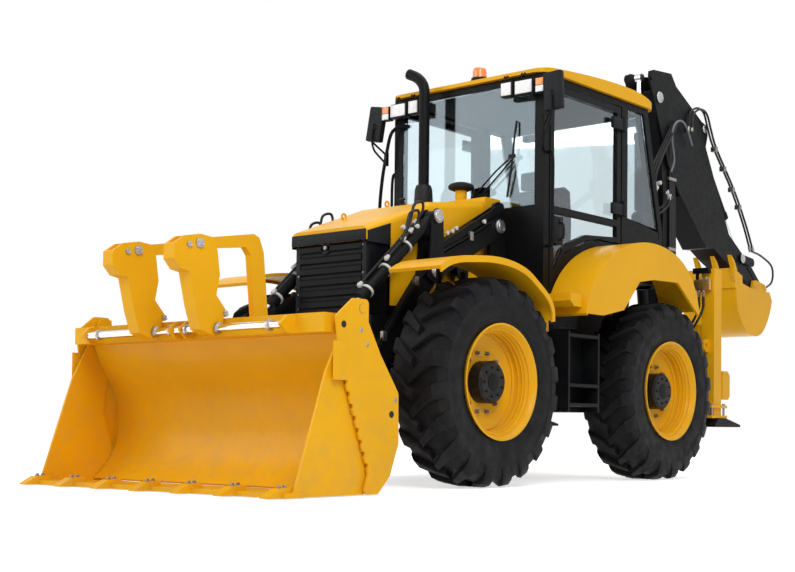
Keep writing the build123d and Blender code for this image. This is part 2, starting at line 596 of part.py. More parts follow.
ARM_SIDE = [(4004, 977), (4050, 932), (4100, 940), (4165, 962), (4212, 1102), (4258, 1296), (4322, 1308),
            (4372, 1363), (4372, 1450), (4295, 1503), (4180, 1525), (4068, 1515), (4046, 1440),
            (4025, 1296), (4050, 1173), (3975, 1090), (3958, 1052), (3990, 1046)]
fork_arm = plate(ARM_SIDE, *FORK_Y, radius=8)
fork_arm -= bar(step_from(FORK_PIN, 190, 400), FORK_PIN, 150, FORK_Y[0] + 20, FORK_Y[1] - 20)
fork_arm -= bar(step_from(FORK_PIN, 60, 300), FORK_PIN, 150, FORK_Y[0] + 20, FORK_Y[1] - 20)
fork_arm -= bar(step_from(FORK_PIN, 14, 300), FORK_PIN, 120, FORK_Y[0] + 20, FORK_Y[1] - 20)
fork_arm -= pin(FORK_SHAFT, FORK_SHAFT_R + RUN, 0, 400)
fork_arm -= pin(FORK_PIN, PIN_R + RUN, 0, 400)
save("fork_arms", both(fork_arm))

fork = plate([(4176, 1440), (4176, 1502), (3735, 1578), (3690, 1560), (3652, 1471), (3608, 1047),
              (3560, 600), (3576, 600), (3718, 1040), (3762, 1445), (3800, 1490)],
             FORK_Y[0] + 25, FORK_Y[1] - 25)
fork += pin(FORK_PIN, 36, FORK_Y[0] + 25, FORK_Y[1] - 25)
fork += pin(FORK_PIN, PIN_R, FORK_Y[0] - 4, FORK_Y[1] + 4)
save("forks", both(fork))


# ---- backhoe: everything here is centred on Y = 0 and moved to its side --
def backhoe(name, shape):
    save(name, Pos(0, BACKHOE_Y, 0) * shape)


carriage = block(*CARRIAGE_X, -300, 300, 520, 1330)
carriage += block(CARRIAGE_X[0], -930, -300, 300, 1306, 1330)
for low, high in ((500, 560), (980, 1040)):
    carriage += block(SWING_X, CARRIAGE_X[1], -60, 60, low, high)
    carriage += rod((SWING_X, 0, low), (SWING_X, 0, high), 65)
carriage -= rod((SWING_X, 0, 400), (SWING_X, 0, 1100), SWING_PIN_R + RUN)
backhoe("carriage", carriage)

kingpost = rod((SWING_X, 0, 568), (SWING_X, 0, 972), 58)
kingpost += block(-1440, SWING_X, -40, 40, 568, 972)
kingpost += block(-1466, -1430, -94, 94, 568, 1100)
kingpost += block(-1466, -1205, -RAM_EARS_Y[1], RAM_EARS_Y[1], 1050, 1100)
kingpost -= block(-1480, -1190, -RAM_EARS_Y[0], RAM_EARS_Y[0], 1068, 1120)
kingpost += rod((SWING_X, 0, 486), (SWING_X, 0, 1060), SWING_PIN_R)
for side in (1, -1):
    kingpost += plate([(-1440, 800), (-1440, 1080), (-1545, 1035), (-1630, 990), (-1630, 900),
                       (-1545, 865)], *sorted((side * 64, side * 94)), radius=12)
    kingpost += plate([(-1205, 1060), (-1205, 1180), (-1240, 1225), (-1300, 1225), (-1340, 1180),
                       (-1340, 1060)], *sorted((side * RAM_EARS_Y[0], side * RAM_EARS_Y[1])), radius=10)
kingpost -= pin(BOOM_FOOT, PIN_R + RUN, -200, 200)
kingpost += pin(BOOM_RAM_BASE, PIN_R, -RAM_EARS_Y[1] - 2, RAM_EARS_Y[1] + 2)
backhoe("kingpost", kingpost)

BOOM = [(-1480, 1150), (-1390, 1400), (-1372, 2150), (-1374, 2600), (-1316, 2960), (-1195, 3390),
        (-1225, 3500), (-1300, 3490), (-1420, 3330), (-1602, 3000), (-1616, 2080), (-1600, 1300),
        (-1590, 1150)]
boom = plate(BOOM, -105, 105, radius=12)
boom += plate([(-1492, 920), (-1480, 1110), (-1440, 1200), (-1600, 1200), (-1595, 920)], -57, 57)
boom += pin(BOOM_FOOT, 62, -57, 57) + pin(BOOM_FOOT, PIN_R, -98, 98)
GUSSET = [(-1380, 1880), (-1130, 2030), (-1076, 2070), (-1076, 2110), (-1085, 2345), (-1130, 2380),
          (-1190, 2370), (-1380, 2700)]
for ear_y in ((36, 58), (-58, -36)):
    boom += plate(GUSSET, *ear_y, radius=8)
for cap_y in ((36, 70), (-70, -36)):
    boom += pin(BOOM_LUG, 38, *cap_y)
boom += pin(DIPPER_RAM_BASE, PIN_R, -58, 58)
boom -= pin(DIPPER_PIN, PIN_R + RUN, -200, 200)
backhoe("boom", boom)

DIPPER = [(-1085, 3560), (-1085, 3635), (-1150, 3660), (-1470, 3690), (-1560, 3590), (-2050, 3350),
          (-2140, 3330), (-2170, 3240), (-2130, 3120), (-2614, 2330), (-2897, 2169), (-3210, 1930),
          (-3240, 1880), (-3190, 1816), (-3130, 1840), (-2750, 1985), (-2480, 2080), (-2300, 2160),
          (-2150, 2150), (-1590, 2640), (-1420, 2840), (-1180, 3360)]
dipper = plate(DIPPER, -130, 130, radius=6)
ROOT = [(-1000, 3800), (-1000, 2400), (-1560, 2400), (-1670, 2600), (-1670, 3200), (-1560, 3400),
        (-1450, 3590), (-1390, 3800)]
dipper -= plate(ROOT, -112, 112)
dipper -= block(-2400, -2035, -60, 60, 3100, 3420)
for gap_side in (1, -1):
    dipper -= block(-3400, -2990, gap_side * 96, gap_side * 140, 1700, 2140)
dipper -= pin(DIG_PIN, PIN_R + RUN, -200, 200)
dipper -= pin(TIP_LINK_PIN, PIN_R + RUN, -200, 200)
dipper += pin(DIPPER_PIN, PIN_R, -136, 136)
for cap_y in ((112, 140), (-140, -112)):
    dipper += pin(DIPPER_LUG, 40, *cap_y)
dipper += pin(BUCKET_RAM_BASE, PIN_R, -130, 130)
backhoe("dipper", dipper)

DIG_LINK_PIN = step_from(DIG_PIN, DIG_LINK_ANGLE, DIG_LINK_LEN)
ROD_PIN = step_from(TIP_LINK_PIN, DIG_LINK_ANGLE, DIG_LINK_LEN)
SCOOP = [(-2413, 1960), (-2435, 1773), (-2465, 1602), (-2530, 1490), (-2601, 1413), (-2791, 1336),
         (-2972, 1364), (-3090, 1470), (-3149, 1556), (-3212, 1713)]
SCOOP_TOP = [(-3154, 1797), (-2960, 1790), (-2760, 1801), (-2570, 1834), (-2565, 1907)]
scoop = curved_sheet(SCOOP, -16, -300, 300)
for cheek_y in ((284, 300), (-300, -284)):
    scoop += curved_plate(SCOOP, SCOOP_TOP, *cheek_y)
scoop += block(-2440, -2412, -300, 300, 1780, 1975)
DIG_TEETH = 4
for tooth in range(DIG_TEETH):
    tooth_y = -280 + tooth * 560 / (DIG_TEETH - 1)
    scoop += plate([(-2445, 1850), (-2452, 1960), (-2395, 2040), (-2329, 2090), (-2380, 1990),
                    (-2405, 1850)], tooth_y - 22, tooth_y + 22)
EAR = [(-3140, 1600), (-3120, 1830), (-3150, 1925), (-3215, 1935), (-3400, 1905), (-3450, 1856),
       (-3400, 1806), (-3250, 1700), (-3170, 1560)]
for ear_y in ((102, 127), (-127, -102)):
    scoop += plate(EAR, *ear_y, radius=8)
scoop += pin(DIG_PIN, PIN_R, -130, 130) + pin(DIG_LINK_PIN, PIN_R, -130, 130)
backhoe("backhoe_bucket", scoop)

tipping = Part()
for link_y in ((136, 154), (-154, -136)):
    tipping += bar(TIP_LINK_PIN, ROD_PIN, 84, *link_y)
tipping += pin(TIP_LINK_PIN, PIN_R, -154, 154)
for half_pin in ((44, 154), (-154, -44)):
    tipping += pin(ROD_PIN, PIN_R, *half_pin)
backhoe("tipping_link", tipping)

connect = Part()
for link_y in ((44, 94), (-94, -44)):
    connect += bar(ROD_PIN, DIG_LINK_PIN, 62, *link_y)
connect += bar(along(ROD_PIN, DIG_LINK_PIN, 0.45), along(ROD_PIN, DIG_LINK_PIN, 0.8), 50, -94, 94)
connect -= pin(ROD_PIN, PIN_R + RUN, -200, 200)
connect -= pin(DIG_LINK_PIN, PIN_R + RUN, -200, 200)
backhoe("bucket_link", connect)

backhoe("boom_barrel", barrel(BOOM_RAM_BASE, BOOM_LUG, 760, 50, 0, 32))
backhoe("boom_rod", ram_rod(BOOM_RAM_BASE, BOOM_LUG, 700, 29, 0, 30, 42))
backhoe("dipper_barrel", barrel(DIPPER_RAM_BASE, DIPPER_LUG, 760, 46, 0, 32))
backhoe("dipper_rod", ram_rod(DIPPER_RAM_BASE, DIPPER_LUG, 680, 27, 0, 30, 40))
backhoe("bucket_barrel", barrel(BUCKET_RAM_BASE, ROD_PIN, 1000, 46, 0, 32))
backhoe("bucket_rod", ram_rod(BUCKET_RAM_BASE, ROD_PIN, 940, 27, 0, 30, 40))
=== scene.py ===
import math

import bmesh
import bpy
from mathutils import Matrix, Vector


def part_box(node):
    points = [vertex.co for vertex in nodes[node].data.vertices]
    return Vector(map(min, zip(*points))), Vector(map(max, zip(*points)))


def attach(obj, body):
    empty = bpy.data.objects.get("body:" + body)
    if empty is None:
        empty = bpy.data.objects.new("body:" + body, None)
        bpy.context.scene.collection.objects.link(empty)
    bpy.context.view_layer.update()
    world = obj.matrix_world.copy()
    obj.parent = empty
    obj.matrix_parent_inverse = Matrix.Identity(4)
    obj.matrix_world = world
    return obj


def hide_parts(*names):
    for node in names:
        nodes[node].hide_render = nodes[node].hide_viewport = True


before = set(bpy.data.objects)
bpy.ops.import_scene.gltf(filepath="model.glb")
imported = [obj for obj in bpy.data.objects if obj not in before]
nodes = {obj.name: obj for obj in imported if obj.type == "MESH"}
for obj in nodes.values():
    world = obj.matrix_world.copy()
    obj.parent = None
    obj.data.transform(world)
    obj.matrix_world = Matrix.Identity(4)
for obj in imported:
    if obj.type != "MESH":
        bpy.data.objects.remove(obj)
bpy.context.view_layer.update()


def box_of(name):
    low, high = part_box(name)
    return Vector(low), Vector(high)


def middle(name):
    low, high = box_of(name)
    return (low + high) / 2


AXLE_X = middle("tyre_rear_left").x
FRONT_X = middle("tyre_front_left").x
WHEEL_Z = middle("tyre_rear_left").z
TRACK = middle("tyre_rear_left").y
TYRE_R = (box_of("tyre_rear_left")[1].z - box_of("tyre_rear_left")[0].z) / 2
DIG_Y = middle("boom").y


def at(x, y, z):
    """Place measured from the middle of the rear axle, at ground level."""
    return Vector((x + AXLE_X, y, z))


# ---- materials ------------------------------------------------------------
def new_material(name):
    mat = bpy.data.materials.new(name)
    mat.use_nodes = True
    tree = mat.node_tree
    shader = tree.nodes["Principled BSDF"]
    coords = tree.nodes.new("ShaderNodeTexCoord")
    return mat, tree, shader, coords.outputs["Object"]


def noise(tree, coords, scale, detail=3.0, rough=0.5):
    node = tree.nodes.new("ShaderNodeTexNoise")
    node.inputs["Scale"].default_value = scale
    node.inputs["Detail"].default_value = detail
    node.inputs["Roughness"].default_value = rough
    tree.links.new(coords, node.inputs["Vector"])
    return node.outputs["Fac"]


def ramp(tree, value, stops):
    node = tree.nodes.new("ShaderNodeValToRGB")
    node.color_ramp.elements[0].position = stops[0][0]
    node.color_ramp.elements[0].color = (*stops[0][1], 1)
    node.color_ramp.elements[1].position = stops[-1][0]
    node.color_ramp.elements[1].color = (*stops[-1][1], 1)
    for place, color in stops[1:-1]:
        node.color_ramp.elements.new(place).color = (*color, 1)
    tree.links.new(value, node.inputs["Fac"])
    return node.outputs["Color"]


def mixed(tree, factor, first, second):
    node = tree.nodes.new("ShaderNodeMix")
    node.data_type = "RGBA"
    tree.links.new(factor, node.inputs[0])
    for value, socket in ((first, node.inputs[6]), (second, node.inputs[7])):
        if isinstance(value, tuple):
            socket.default_value = (*value, 1)
        else:
            tree.links.new(value, socket)
    return node.outputs[2]


def math_node(tree, kind, first, second=0.0):
    node = tree.nodes.new("ShaderNodeMath")
    node.operation = kind
    for value, socket in ((first, node.inputs[0]), (second, node.inputs[1])):
        if isinstance(value, (int, float)):
            socket.default_value = value
        else:
            tree.links.new(value, socket)
    return node.outputs[0]


def bumped(tree, shader, height, strength, distance):
    node = tree.nodes.new("ShaderNodeBump")
    node.inputs["Strength"].default_value = strength
    node.inputs["Distance"].default_value = distance
    tree.links.new(height, node.inputs["Height"])
    tree.links.new(node.outputs["Normal"], shader.inputs["Normal"])


def scaled(color, share):
    return tuple(min(1.0, c * share) for c in color)


def dusty(tree, coords, color, dust_color, amount):
    """Fine dust low on the machine, broken up by noise."""
    split = tree.nodes.new("ShaderNodeSeparateXYZ")
    tree.links.new(coords, split.inputs[0])
    low = tree.nodes.new("ShaderNodeMapRange")
    low.inputs["From Min"].default_value = 1.3
    low.inputs["From Max"].default_value = 0.0
    low.inputs["To Max"].default_value = amount
    tree.links.new(split.outputs["Z"], low.inputs["Value"])
    grain = ramp(tree, noise(tree, coords, 9.0, 6.0, 0.65), [(0.42, (0, 0, 0)), (0.72, (1, 1, 1))])
    share = math_node(tree, "MULTIPLY", low.outputs["Result"], grain)
    return mixed(tree, share, color, dust_color)


def paint(name, color, rough=0.34, coat=0.02, grain=1200.0, dust=0.2, shine=0.13, masks=()):
    """Sprayed paint: slow colour drift, orange peel and dust; masks pick a second colour by place."""
    mat, tree, shader, coords = new_material(name)
    drift = noise(tree, coords, 1.7, 4.0)
    base = ramp(tree, drift, [(0.3, scaled(color, 0.93)), (0.7, scaled(color, 1.04))])
    for mask, other in masks:
        base = mixed(tree, mask(tree, coords), base, other)
    tree.links.new(dusty(tree, coords, base, (0.30, 0.24, 0.17), dust), shader.inputs["Base Color"])
    wear = ramp(tree, noise(tree, coords, 24.0, 5.0),
                [(0.35, (rough * 0.85,) * 3), (0.75, (rough * 1.25,) * 3)])
    tree.links.new(wear, shader.inputs["Roughness"])
    shader.inputs["Specular IOR Level"].default_value = shine
    shader.inputs["Coat Weight"].default_value = coat
    shader.inputs["Coat Roughness"].default_value = 0.12
    bumped(tree, shader, noise(tree, coords, grain / 6, 2.0), 0.06, 0.0006)
    return mat


def metal(name, color, rough, scratch=0.2):
    mat, tree, shader, coords = new_material(name)
    shader.inputs["Metallic"].default_value = 1.0
    base = ramp(tree, noise(tree, coords, 18.0, 5.0), [(0.3, scaled(color, 0.82)), (0.7, color)])
    tree.links.new(base, shader.inputs["Base Color"])
    wear = ramp(tree, noise(tree, coords, 60.0, 4.0), [(0.3, (rough * 0.7,) * 3), (0.8, (rough * 1.5,) * 3)])
    tree.links.new(wear, shader.inputs["Roughness"])
    bumped(tree, shader, noise(tree, coords, 320.0, 3.0), scratch, 0.0004)
    return mat


def plastic(name, color, rough=0.5, grain=0.25, scale=260.0, shine=0.25):
    mat, tree, shader, coords = new_material(name)
    shader.inputs["Specular IOR Level"].default_value = shine
    base = ramp(tree, noise(tree, coords, 5.0, 4.0),
                [(0.3, scaled(color, 0.85)), (0.7, scaled(color, 1.15))])
    tree.links.new(base, shader.inputs["Base Color"])
    wear = ramp(tree, noise(tree, coords, 40.0, 3.0),
                [(0.3, (rough * 0.85,) * 3), (0.7, (rough * 1.15,) * 3)])
    tree.links.new(wear, shader.inputs["Roughness"])
    bumped(tree, shader, noise(tree, coords, scale, 3.0), grain, 0.0006)
    return mat


def rubber(name, color):
    mat, tree, shader, coords = new_material(name)
    base = ramp(tree, noise(tree, coords, 3.0, 6.0, 0.6), [(0.3, color), (0.75, scaled(color, 1.6))])
    tree.links.new(dusty(tree, coords, base, (0.10, 0.09, 0.08), 0.2), shader.inputs["Base Color"])
    shader.inputs["Specular IOR Level"].default_value = 0.1
    wear = ramp(tree, noise(tree, coords, 14.0, 5.0), [(0.3, (0.42,) * 3), (0.7, (0.68,) * 3)])
    tree.links.new(wear, shader.inputs["Roughness"])
    bumped(tree, shader, noise(tree, coords, 90.0, 6.0, 0.7), 0.3, 0.0015)
    return mat


def glass(name, tint):
    mat, tree, shader, coords = new_material(name)
    base = ramp(tree, noise(tree, coords, 0.8, 2.0), [(0.3, scaled(tint, 0.96)), (0.7, tint)])
    tree.links.new(base, shader.inputs["Base Color"])
    smear = ramp(tree, noise(tree, coords, 2.5, 5.0), [(0.35, (0.0,) * 3), (0.8, (0.05,) * 3)])
    tree.links.new(smear, shader.inputs["Roughness"])
    shader.inputs["Transmission Weight"].default_value = 1.0
    shader.inputs["IOR"].default_value = 1.6
    shader.inputs["Specular Tint"].default_value = (0.78, 0.92, 1.0, 1)
    return mat


def lamp_lens(name, color):
    mat, tree, shader, coords = new_material(name)
    base = ramp(tree, noise(tree, coords, 30.0, 2.0), [(0.3, scaled(color, 0.85)), (0.7, color)])
    tree.links.new(base, shader.inputs["Base Color"])
    shader.inputs["Roughness"].default_value = 0.12
    shader.inputs["Coat Weight"].default_value = 0.6
    wave = tree.nodes.new("ShaderNodeTexWave")
    wave.inputs["Scale"].default_value = 45.0
    tree.links.new(coords, wave.inputs["Vector"])
    bumped(tree, shader, wave.outputs["Fac"], 0.35, 0.002)
    return mat


def near_axle(radius):
    """Mask of what lies within a radius of either axle line."""
    def mask(tree, coords):
        split = tree.nodes.new("ShaderNodeSeparateXYZ")
        tree.links.new(coords, split.inputs[0])
        distances = []
        for x in (AXLE_X, FRONT_X):
            dx = math_node(tree, "SUBTRACT", split.outputs["X"], x)
            dz = math_node(tree, "SUBTRACT", split.outputs["Z"], WHEEL_Z)
            square = math_node(tree, "ADD", math_node(tree, "MULTIPLY", dx, dx),
                               math_node(tree, "MULTIPLY", dz, dz))
            distances.append(math_node(tree, "LESS_THAN", square, radius * radius))
        return math_node(tree, "MAXIMUM", *distances)
    return mask


def beyond(axis, limit, sign=1):
    """Mask of what lies past a limit along an axis."""
    def mask(tree, coords):
        split = tree.nodes.new("ShaderNodeSeparateXYZ")
        tree.links.new(coords, split.inputs[0])
        value = split.outputs[axis]
        if sign > 0:
            return math_node(tree, "GREATER_THAN", value, limit)
        return math_node(tree, "LESS_THAN", value, limit)
    return mask


def all_of(*masks):
    def mask(tree, coords):
        result = masks[0](tree, coords)
        for other in masks[1:]:
            result = math_node(tree, "MULTIPLY", result, other(tree, coords))
        return result
    return mask


YELLOW = (0.84, 0.42, 0.006)
BLACK = (0.0055, 0.006, 0.007)
yellow = paint("yellow_paint_fine", YELLOW)
black = paint("black_paint_fine", BLACK, rough=0.42, coat=0.0, dust=0.04, shine=0.09)
rim_paint = paint("rim_paint_fine", YELLOW, masks=[(near_axle(0.1435), BLACK)])
stack_paint = paint("stack_paint_fine", BLACK, rough=0.45, coat=0.0, dust=0.03, shine=0.09,
                    masks=[(all_of(beyond("Y", -0.1), beyond("Z", 2.213, -1)), YELLOW)])
stabilizer_paint = paint("stabilizer_paint_fine", BLACK, rough=0.42, coat=0.0, dust=0.05, shine=0.09)
door_paint = paint("door_paint_fine", BLACK, rough=0.42, coat=0.0, dust=0.03, shine=0.1)
tyre_rubber = rubber("tyre_rubber_fine", (0.006, 0.006, 0.007))
hose_rubber = plastic("hose_rubber_fine", (0.012, 0.012, 0.013), rough=0.42, grain=0.35, scale=420.0)
grey_hose = plastic("grey_hose_fine", (0.16, 0.17, 0.18), rough=0.5, grain=0.35, scale=420.0)
seal = plastic("seal_rubber", (0.01, 0.01, 0.011), rough=0.6)
chrome = metal("chrome_fine", (0.80, 0.80, 0.81), 0.12, 0.05)
steel = metal("steel_fine", (0.50, 0.50, 0.51), 0.34)
bolt_steel = metal("bolt_steel", (0.32, 0.30, 0.27), 0.42)
trim = plastic("trim_plastic", (0.011, 0.012, 0.014), rough=0.55, shine=0.15)
seat_cloth = plastic("seat_cloth", (0.030, 0.031, 0.035), rough=0.85, grain=0.8, scale=700.0)
brass = metal("brass", (0.62, 0.42, 0.16), 0.36)
clear_glass = glass("clear_glass_fine", (0.86, 0.93, 0.95))
tinted_glass = glass("tinted_glass_fine", (0.72, 0.81, 0.84))
lens_clear = lamp_lens("lens_clear", (0.85, 0.86, 0.88))
lens_amber = lamp_lens("lens_amber", (0.95, 0.26, 0.01))
mirror_face = metal("mirror_face", (0.75, 0.77, 0.79), 0.04, 0.0)
white_mark = paint("white_fitting", (0.62, 0.62, 0.60), dust=0.05)


def finish_of(name):
    if name.startswith("tyre"):
        return tyre_rubber
    if name.startswith("rim"):
        return rim_paint
    if name == "cab_windows":
        return tinted_glass
    if "glass" in name:
        return clear_glass
    if name.endswith("_rod") or name.endswith("_rods"):
        return chrome
    if name in ("tilt_pins", "bucket_pins"):
        return steel
    if name == "cab_interior":
        return trim
    if name == "exhaust_and_intake":
        return stack_paint
    if name.startswith("stabilizer"):
        return stabilizer_paint
    if name.startswith("door_"):
        return door_paint
    yellow_nodes = ("hood_lid", "cab_roof", "front_fender_left", "front_fender_right", "rear_fenders",
                    "bucket_back", "jaw", "fork_arms", "forks", "backhoe_bucket", "hood_cowl",
                    "rear_frame")
    return yellow if name in yellow_nodes else black


for name, thing in nodes.items():
    thing.data.materials.clear()
    thing.data.materials.append(finish_of(name))


# ---- mesh building ---------------------------------------------------------
class Piece:
    """Collects closed forms and turns them into one object on one body."""

    def __init__(self):
        self.mesh = bmesh.new()

    def rings(self, rows, closed_ends=True):
        """Skin over rows of points, each a closed ring with as many points as the others."""
        loops = [[self.mesh.verts.new(p) for p in row] for row in rows]
        count = len(loops[0])
        for a, b in zip(loops, loops[1:]):
            for i in range(count):
                j = (i + 1) % count
                self.mesh.faces.new((a[i], a[j], b[j], b[i]))
        if closed_ends:
            self.mesh.faces.new(loops[0][::-1])
            self.mesh.faces.new(loops[-1])
        return self

    def turned(self, start, end, profile, count=28):
        """Lathe along start to end; profile of (distance along, radius)."""
        start, end = Vector(start), Vector(end)
        ahead = (end - start).normalized()
        side = ahead.orthogonal().normalized()
        up = ahead.cross(side)
        rows = []
        for along, radius in profile:
            row = []
            for i in range(count):
                a = 2 * math.pi * i / count
                row.append(start + ahead * along + (side * math.cos(a) + up * math.sin(a)) * radius)
            rows.append(row)
        return self.rings(rows)

    def rod(self, start, end, radius, count=24, edge=0.003):
        """Solid round bar with chamfered ends."""
        length = (Vector(end) - Vector(start)).length
        edge = min(edge, radius * 0.4, length * 0.3)
        return self.turned(start, end, [(0, radius - edge), (edge, radius), (length - edge, radius),
                                        (length, radius - edge)], count)

    def hexagon(self, start, end, radius):
        """Bolt head with a washer face."""
        length = (Vector(end) - Vector(start)).length
        self.turned(start, end, [(0, radius * 1.25), (length * 0.25, radius * 1.25)], 18)
        return self.turned(start, end, [(0, radius), (length * 0.85, radius), (length, radius * 0.8)], 6)

    def tube(self, points, radius, steps=8, count=14, smooth=True):
        """Round tube through the points on a smooth line."""
        points = [Vector(p) for p in points]
        line = []
        if smooth and len(points) > 2:
            ends = [points[0] * 2 - points[1]] + points + [points[-1] * 2 - points[-2]]
            for a, b, c, d in zip(ends, ends[1:], ends[2:], ends[3:]):
                for k in range(steps):
                    t = k / steps
                    line.append(0.5 * (2 * b + (c - a) * t + (2 * a - 5 * b + 4 * c - d) * t * t
                                       + (3 * b - a - 3 * c + d) * t * t * t))
            line.append(points[-1])
        else:
            line = points
        side = (line[1] - line[0]).orthogonal().normalized()
        rows = []
        for i, p in enumerate(line):
            ahead = (line[min(i + 1, len(line) - 1)] - line[max(i - 1, 0)]).normalized()
            side = (side - ahead * side.dot(ahead)).normalized()
            up = ahead.cross(side)
            turns = [2 * math.pi * k / count for k in range(count)]
            rows.append([p + (side * math.cos(a) + up * math.sin(a)) * radius for a in turns])
        return self.rings(rows)

    def block(self, low, high, edge=0.004, turn=None):
        """Box with chamfered edges."""
        low, high = Vector(low), Vector(high)
        centre = (low + high) / 2
        size = high - low
        made = bmesh.ops.create_cube(self.mesh, size=1.0)
        matrix = Matrix.Translation(centre) @ (turn or Matrix.Identity(4)) @ Matrix.Diagonal((*size, 1))
        bmesh.ops.transform(self.mesh, matrix=matrix, verts=made["verts"])
        edges = {e for v in made["verts"] for e in v.link_edges}
        bmesh.ops.bevel(self.mesh, geom=list(edges), offset=min(edge, min(size) * 0.3), segments=2,
                        affect="EDGES", profile=0.6)
        return self

    def slab(self, outline, y0, y1, edge=0.003):
        """Side-view outline of (x, z) from the rear axle, solid from y0 to y1."""
        low = [self.mesh.verts.new(at(x, y0, z)) for x, z in outline]
        high = [self.mesh.verts.new(at(x, y1, z)) for x, z in outline]
        faces = [self.mesh.faces.new(low), self.mesh.faces.new(high[::-1])]
        count = len(outline)
        for i in range(count):
            j = (i + 1) % count
            faces.append(self.mesh.faces.new((low[i], high[i], high[j], low[j])))
        bmesh.ops.recalc_face_normals(self.mesh, faces=faces)
        if edge:
            rim = {e for f in faces[:2] for e in f.edges}
            bmesh.ops.bevel(self.mesh, geom=list(rim), offset=edge, segments=1, affect="EDGES")
        return self

    def done(self, name, material, body, angle=35.0, mirror=False):
        """Makes the object on its body; mirror adds the same forms on the other side of the machine."""
        if mirror:
            geometry = self.mesh.verts[:] + self.mesh.edges[:] + self.mesh.faces[:]
            copy = bmesh.ops.duplicate(self.mesh, geom=geometry)
            verts = [g for g in copy["geom"] if isinstance(g, bmesh.types.BMVert)]
            for v in verts:
                v.co.y = -v.co.y
            bmesh.ops.reverse_faces(self.mesh,
                                    faces=[g for g in copy["geom"] if isinstance(g, bmesh.types.BMFace)])
        bmesh.ops.recalc_face_normals(self.mesh, faces=self.mesh.faces)
        data = bpy.data.meshes.new(name)
        self.mesh.to_mesh(data)
        self.mesh.free()
        for polygon in data.polygons:
            polygon.use_smooth = True
        data.set_sharp_from_angle(angle=math.radians(angle))
        data.materials.append(material)
        thing = bpy.data.objects.new(name, data)
        bpy.context.scene.collection.objects.link(thing)
        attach(thing, body)
        return thing


# ---- camera, light and floor -------------------------------------------------
camera_data = bpy.data.cameras.new("camera")
camera = bpy.data.objects.new("camera", camera_data)
bpy.context.scene.collection.objects.link(camera)
bpy.context.scene.camera = camera
CAMERA_PLACE = (9.329, 6.460, 0.397)
YAW, PITCH, ROLL = 3.8236, 0.0285, 0.0096
FOCAL_LENGTH = 60.7
SHIFT_X, SHIFT_Y = -0.0727, 0.1304
ahead = Vector((math.cos(PITCH) * math.cos(YAW), math.cos(PITCH) * math.sin(YAW), math.sin(PITCH)))
level = Vector((math.sin(YAW), -math.cos(YAW), 0))
upright = level.cross(ahead)
right = math.cos(ROLL) * level + math.sin(ROLL) * upright
above = -math.sin(ROLL) * level + math.cos(ROLL) * upright
camera.matrix_world = Matrix.Translation(at(*CAMERA_PLACE)) @ Matrix(
    ((right.x, above.x, -ahead.x), (right.y, above.y, -ahead.y), (right.z, above.z, -ahead.z))).to_4x4()
camera_data.sensor_width = 36.0
camera_data.lens = FOCAL_LENGTH
camera_data.shift_x = SHIFT_X
camera_data.shift_y = SHIFT_Y
camera_data.clip_end = 200.0


def area_light(name, place, target, size, power):
    data = bpy.data.lights.new(name, "AREA")
    data.size = size
    data.energy = power
    lamp = bpy.data.objects.new(name, data)
    lamp.location = place
    lamp.rotation_euler = (Vector(target) - Vector(place)).to_track_quat("-Z", "Y").to_euler()
    bpy.context.scene.collection.objects.link(lamp)


area_light("key", (9, 9, 9), (0, 0, 1), 6.0, 900)
area_light("fill", (10, -7, 6), (0, 0, 1), 7.0, 330)
area_light("top", (-1, 1, 12), (0, 0, 1), 8.0, 430)
area_light("back", (-10, -5, 8), (0, 0, 1.5), 6.0, 280)

SKY_LIGHT = (0.40, 0.41, 0.42)
FLOOR_GLOW = 0.62


def seen_by_camera(tree):
    """1 for rays from the camera, straight, mirrored or through glass; 0 for light on the machine."""
    rays = tree.nodes.new("ShaderNodeLightPath").outputs
    bent = math_node(tree, "MAXIMUM", rays["Is Glossy Ray"], rays["Is Transmission Ray"])
    return math_node(tree, "MAXIMUM", rays["Is Camera Ray"], bent)


world = bpy.data.worlds.new("studio")
bpy.context.scene.world = world
world.use_nodes = True
tree = world.node_tree
background = tree.nodes["Background"]
tree.links.new(mixed(tree, seen_by_camera(tree), SKY_LIGHT, (1.0, 1.0, 1.0)), background.inputs["Color"])

floor_mesh = bmesh.new()
bmesh.ops.create_grid(floor_mesh, x_segments=8, y_segments=8, size=60)
floor_data = bpy.data.meshes.new("floor")
floor_mesh.to_mesh(floor_data)
floor_mesh.free()
floor = bpy.data.objects.new("floor", floor_data)
bpy.context.scene.collection.objects.link(floor)
mat, tree, shader, coords = new_material("pale_floor")
tree.links.new(ramp(tree, noise(tree, coords, 0.6), [(0.3, (0.86, 0.86, 0.86)), (0.7, (0.89, 0.89, 0.89))]),
               shader.inputs["Base Color"])
shader.inputs["Roughness"].default_value = 0.7
shader.inputs["Emission Color"].default_value = (1, 1, 1, 1)
tree.links.new(math_node(tree, "MULTIPLY", seen_by_camera(tree), FLOOR_GLOW),
               shader.inputs["Emission Strength"])
floor_data.materials.append(mat)


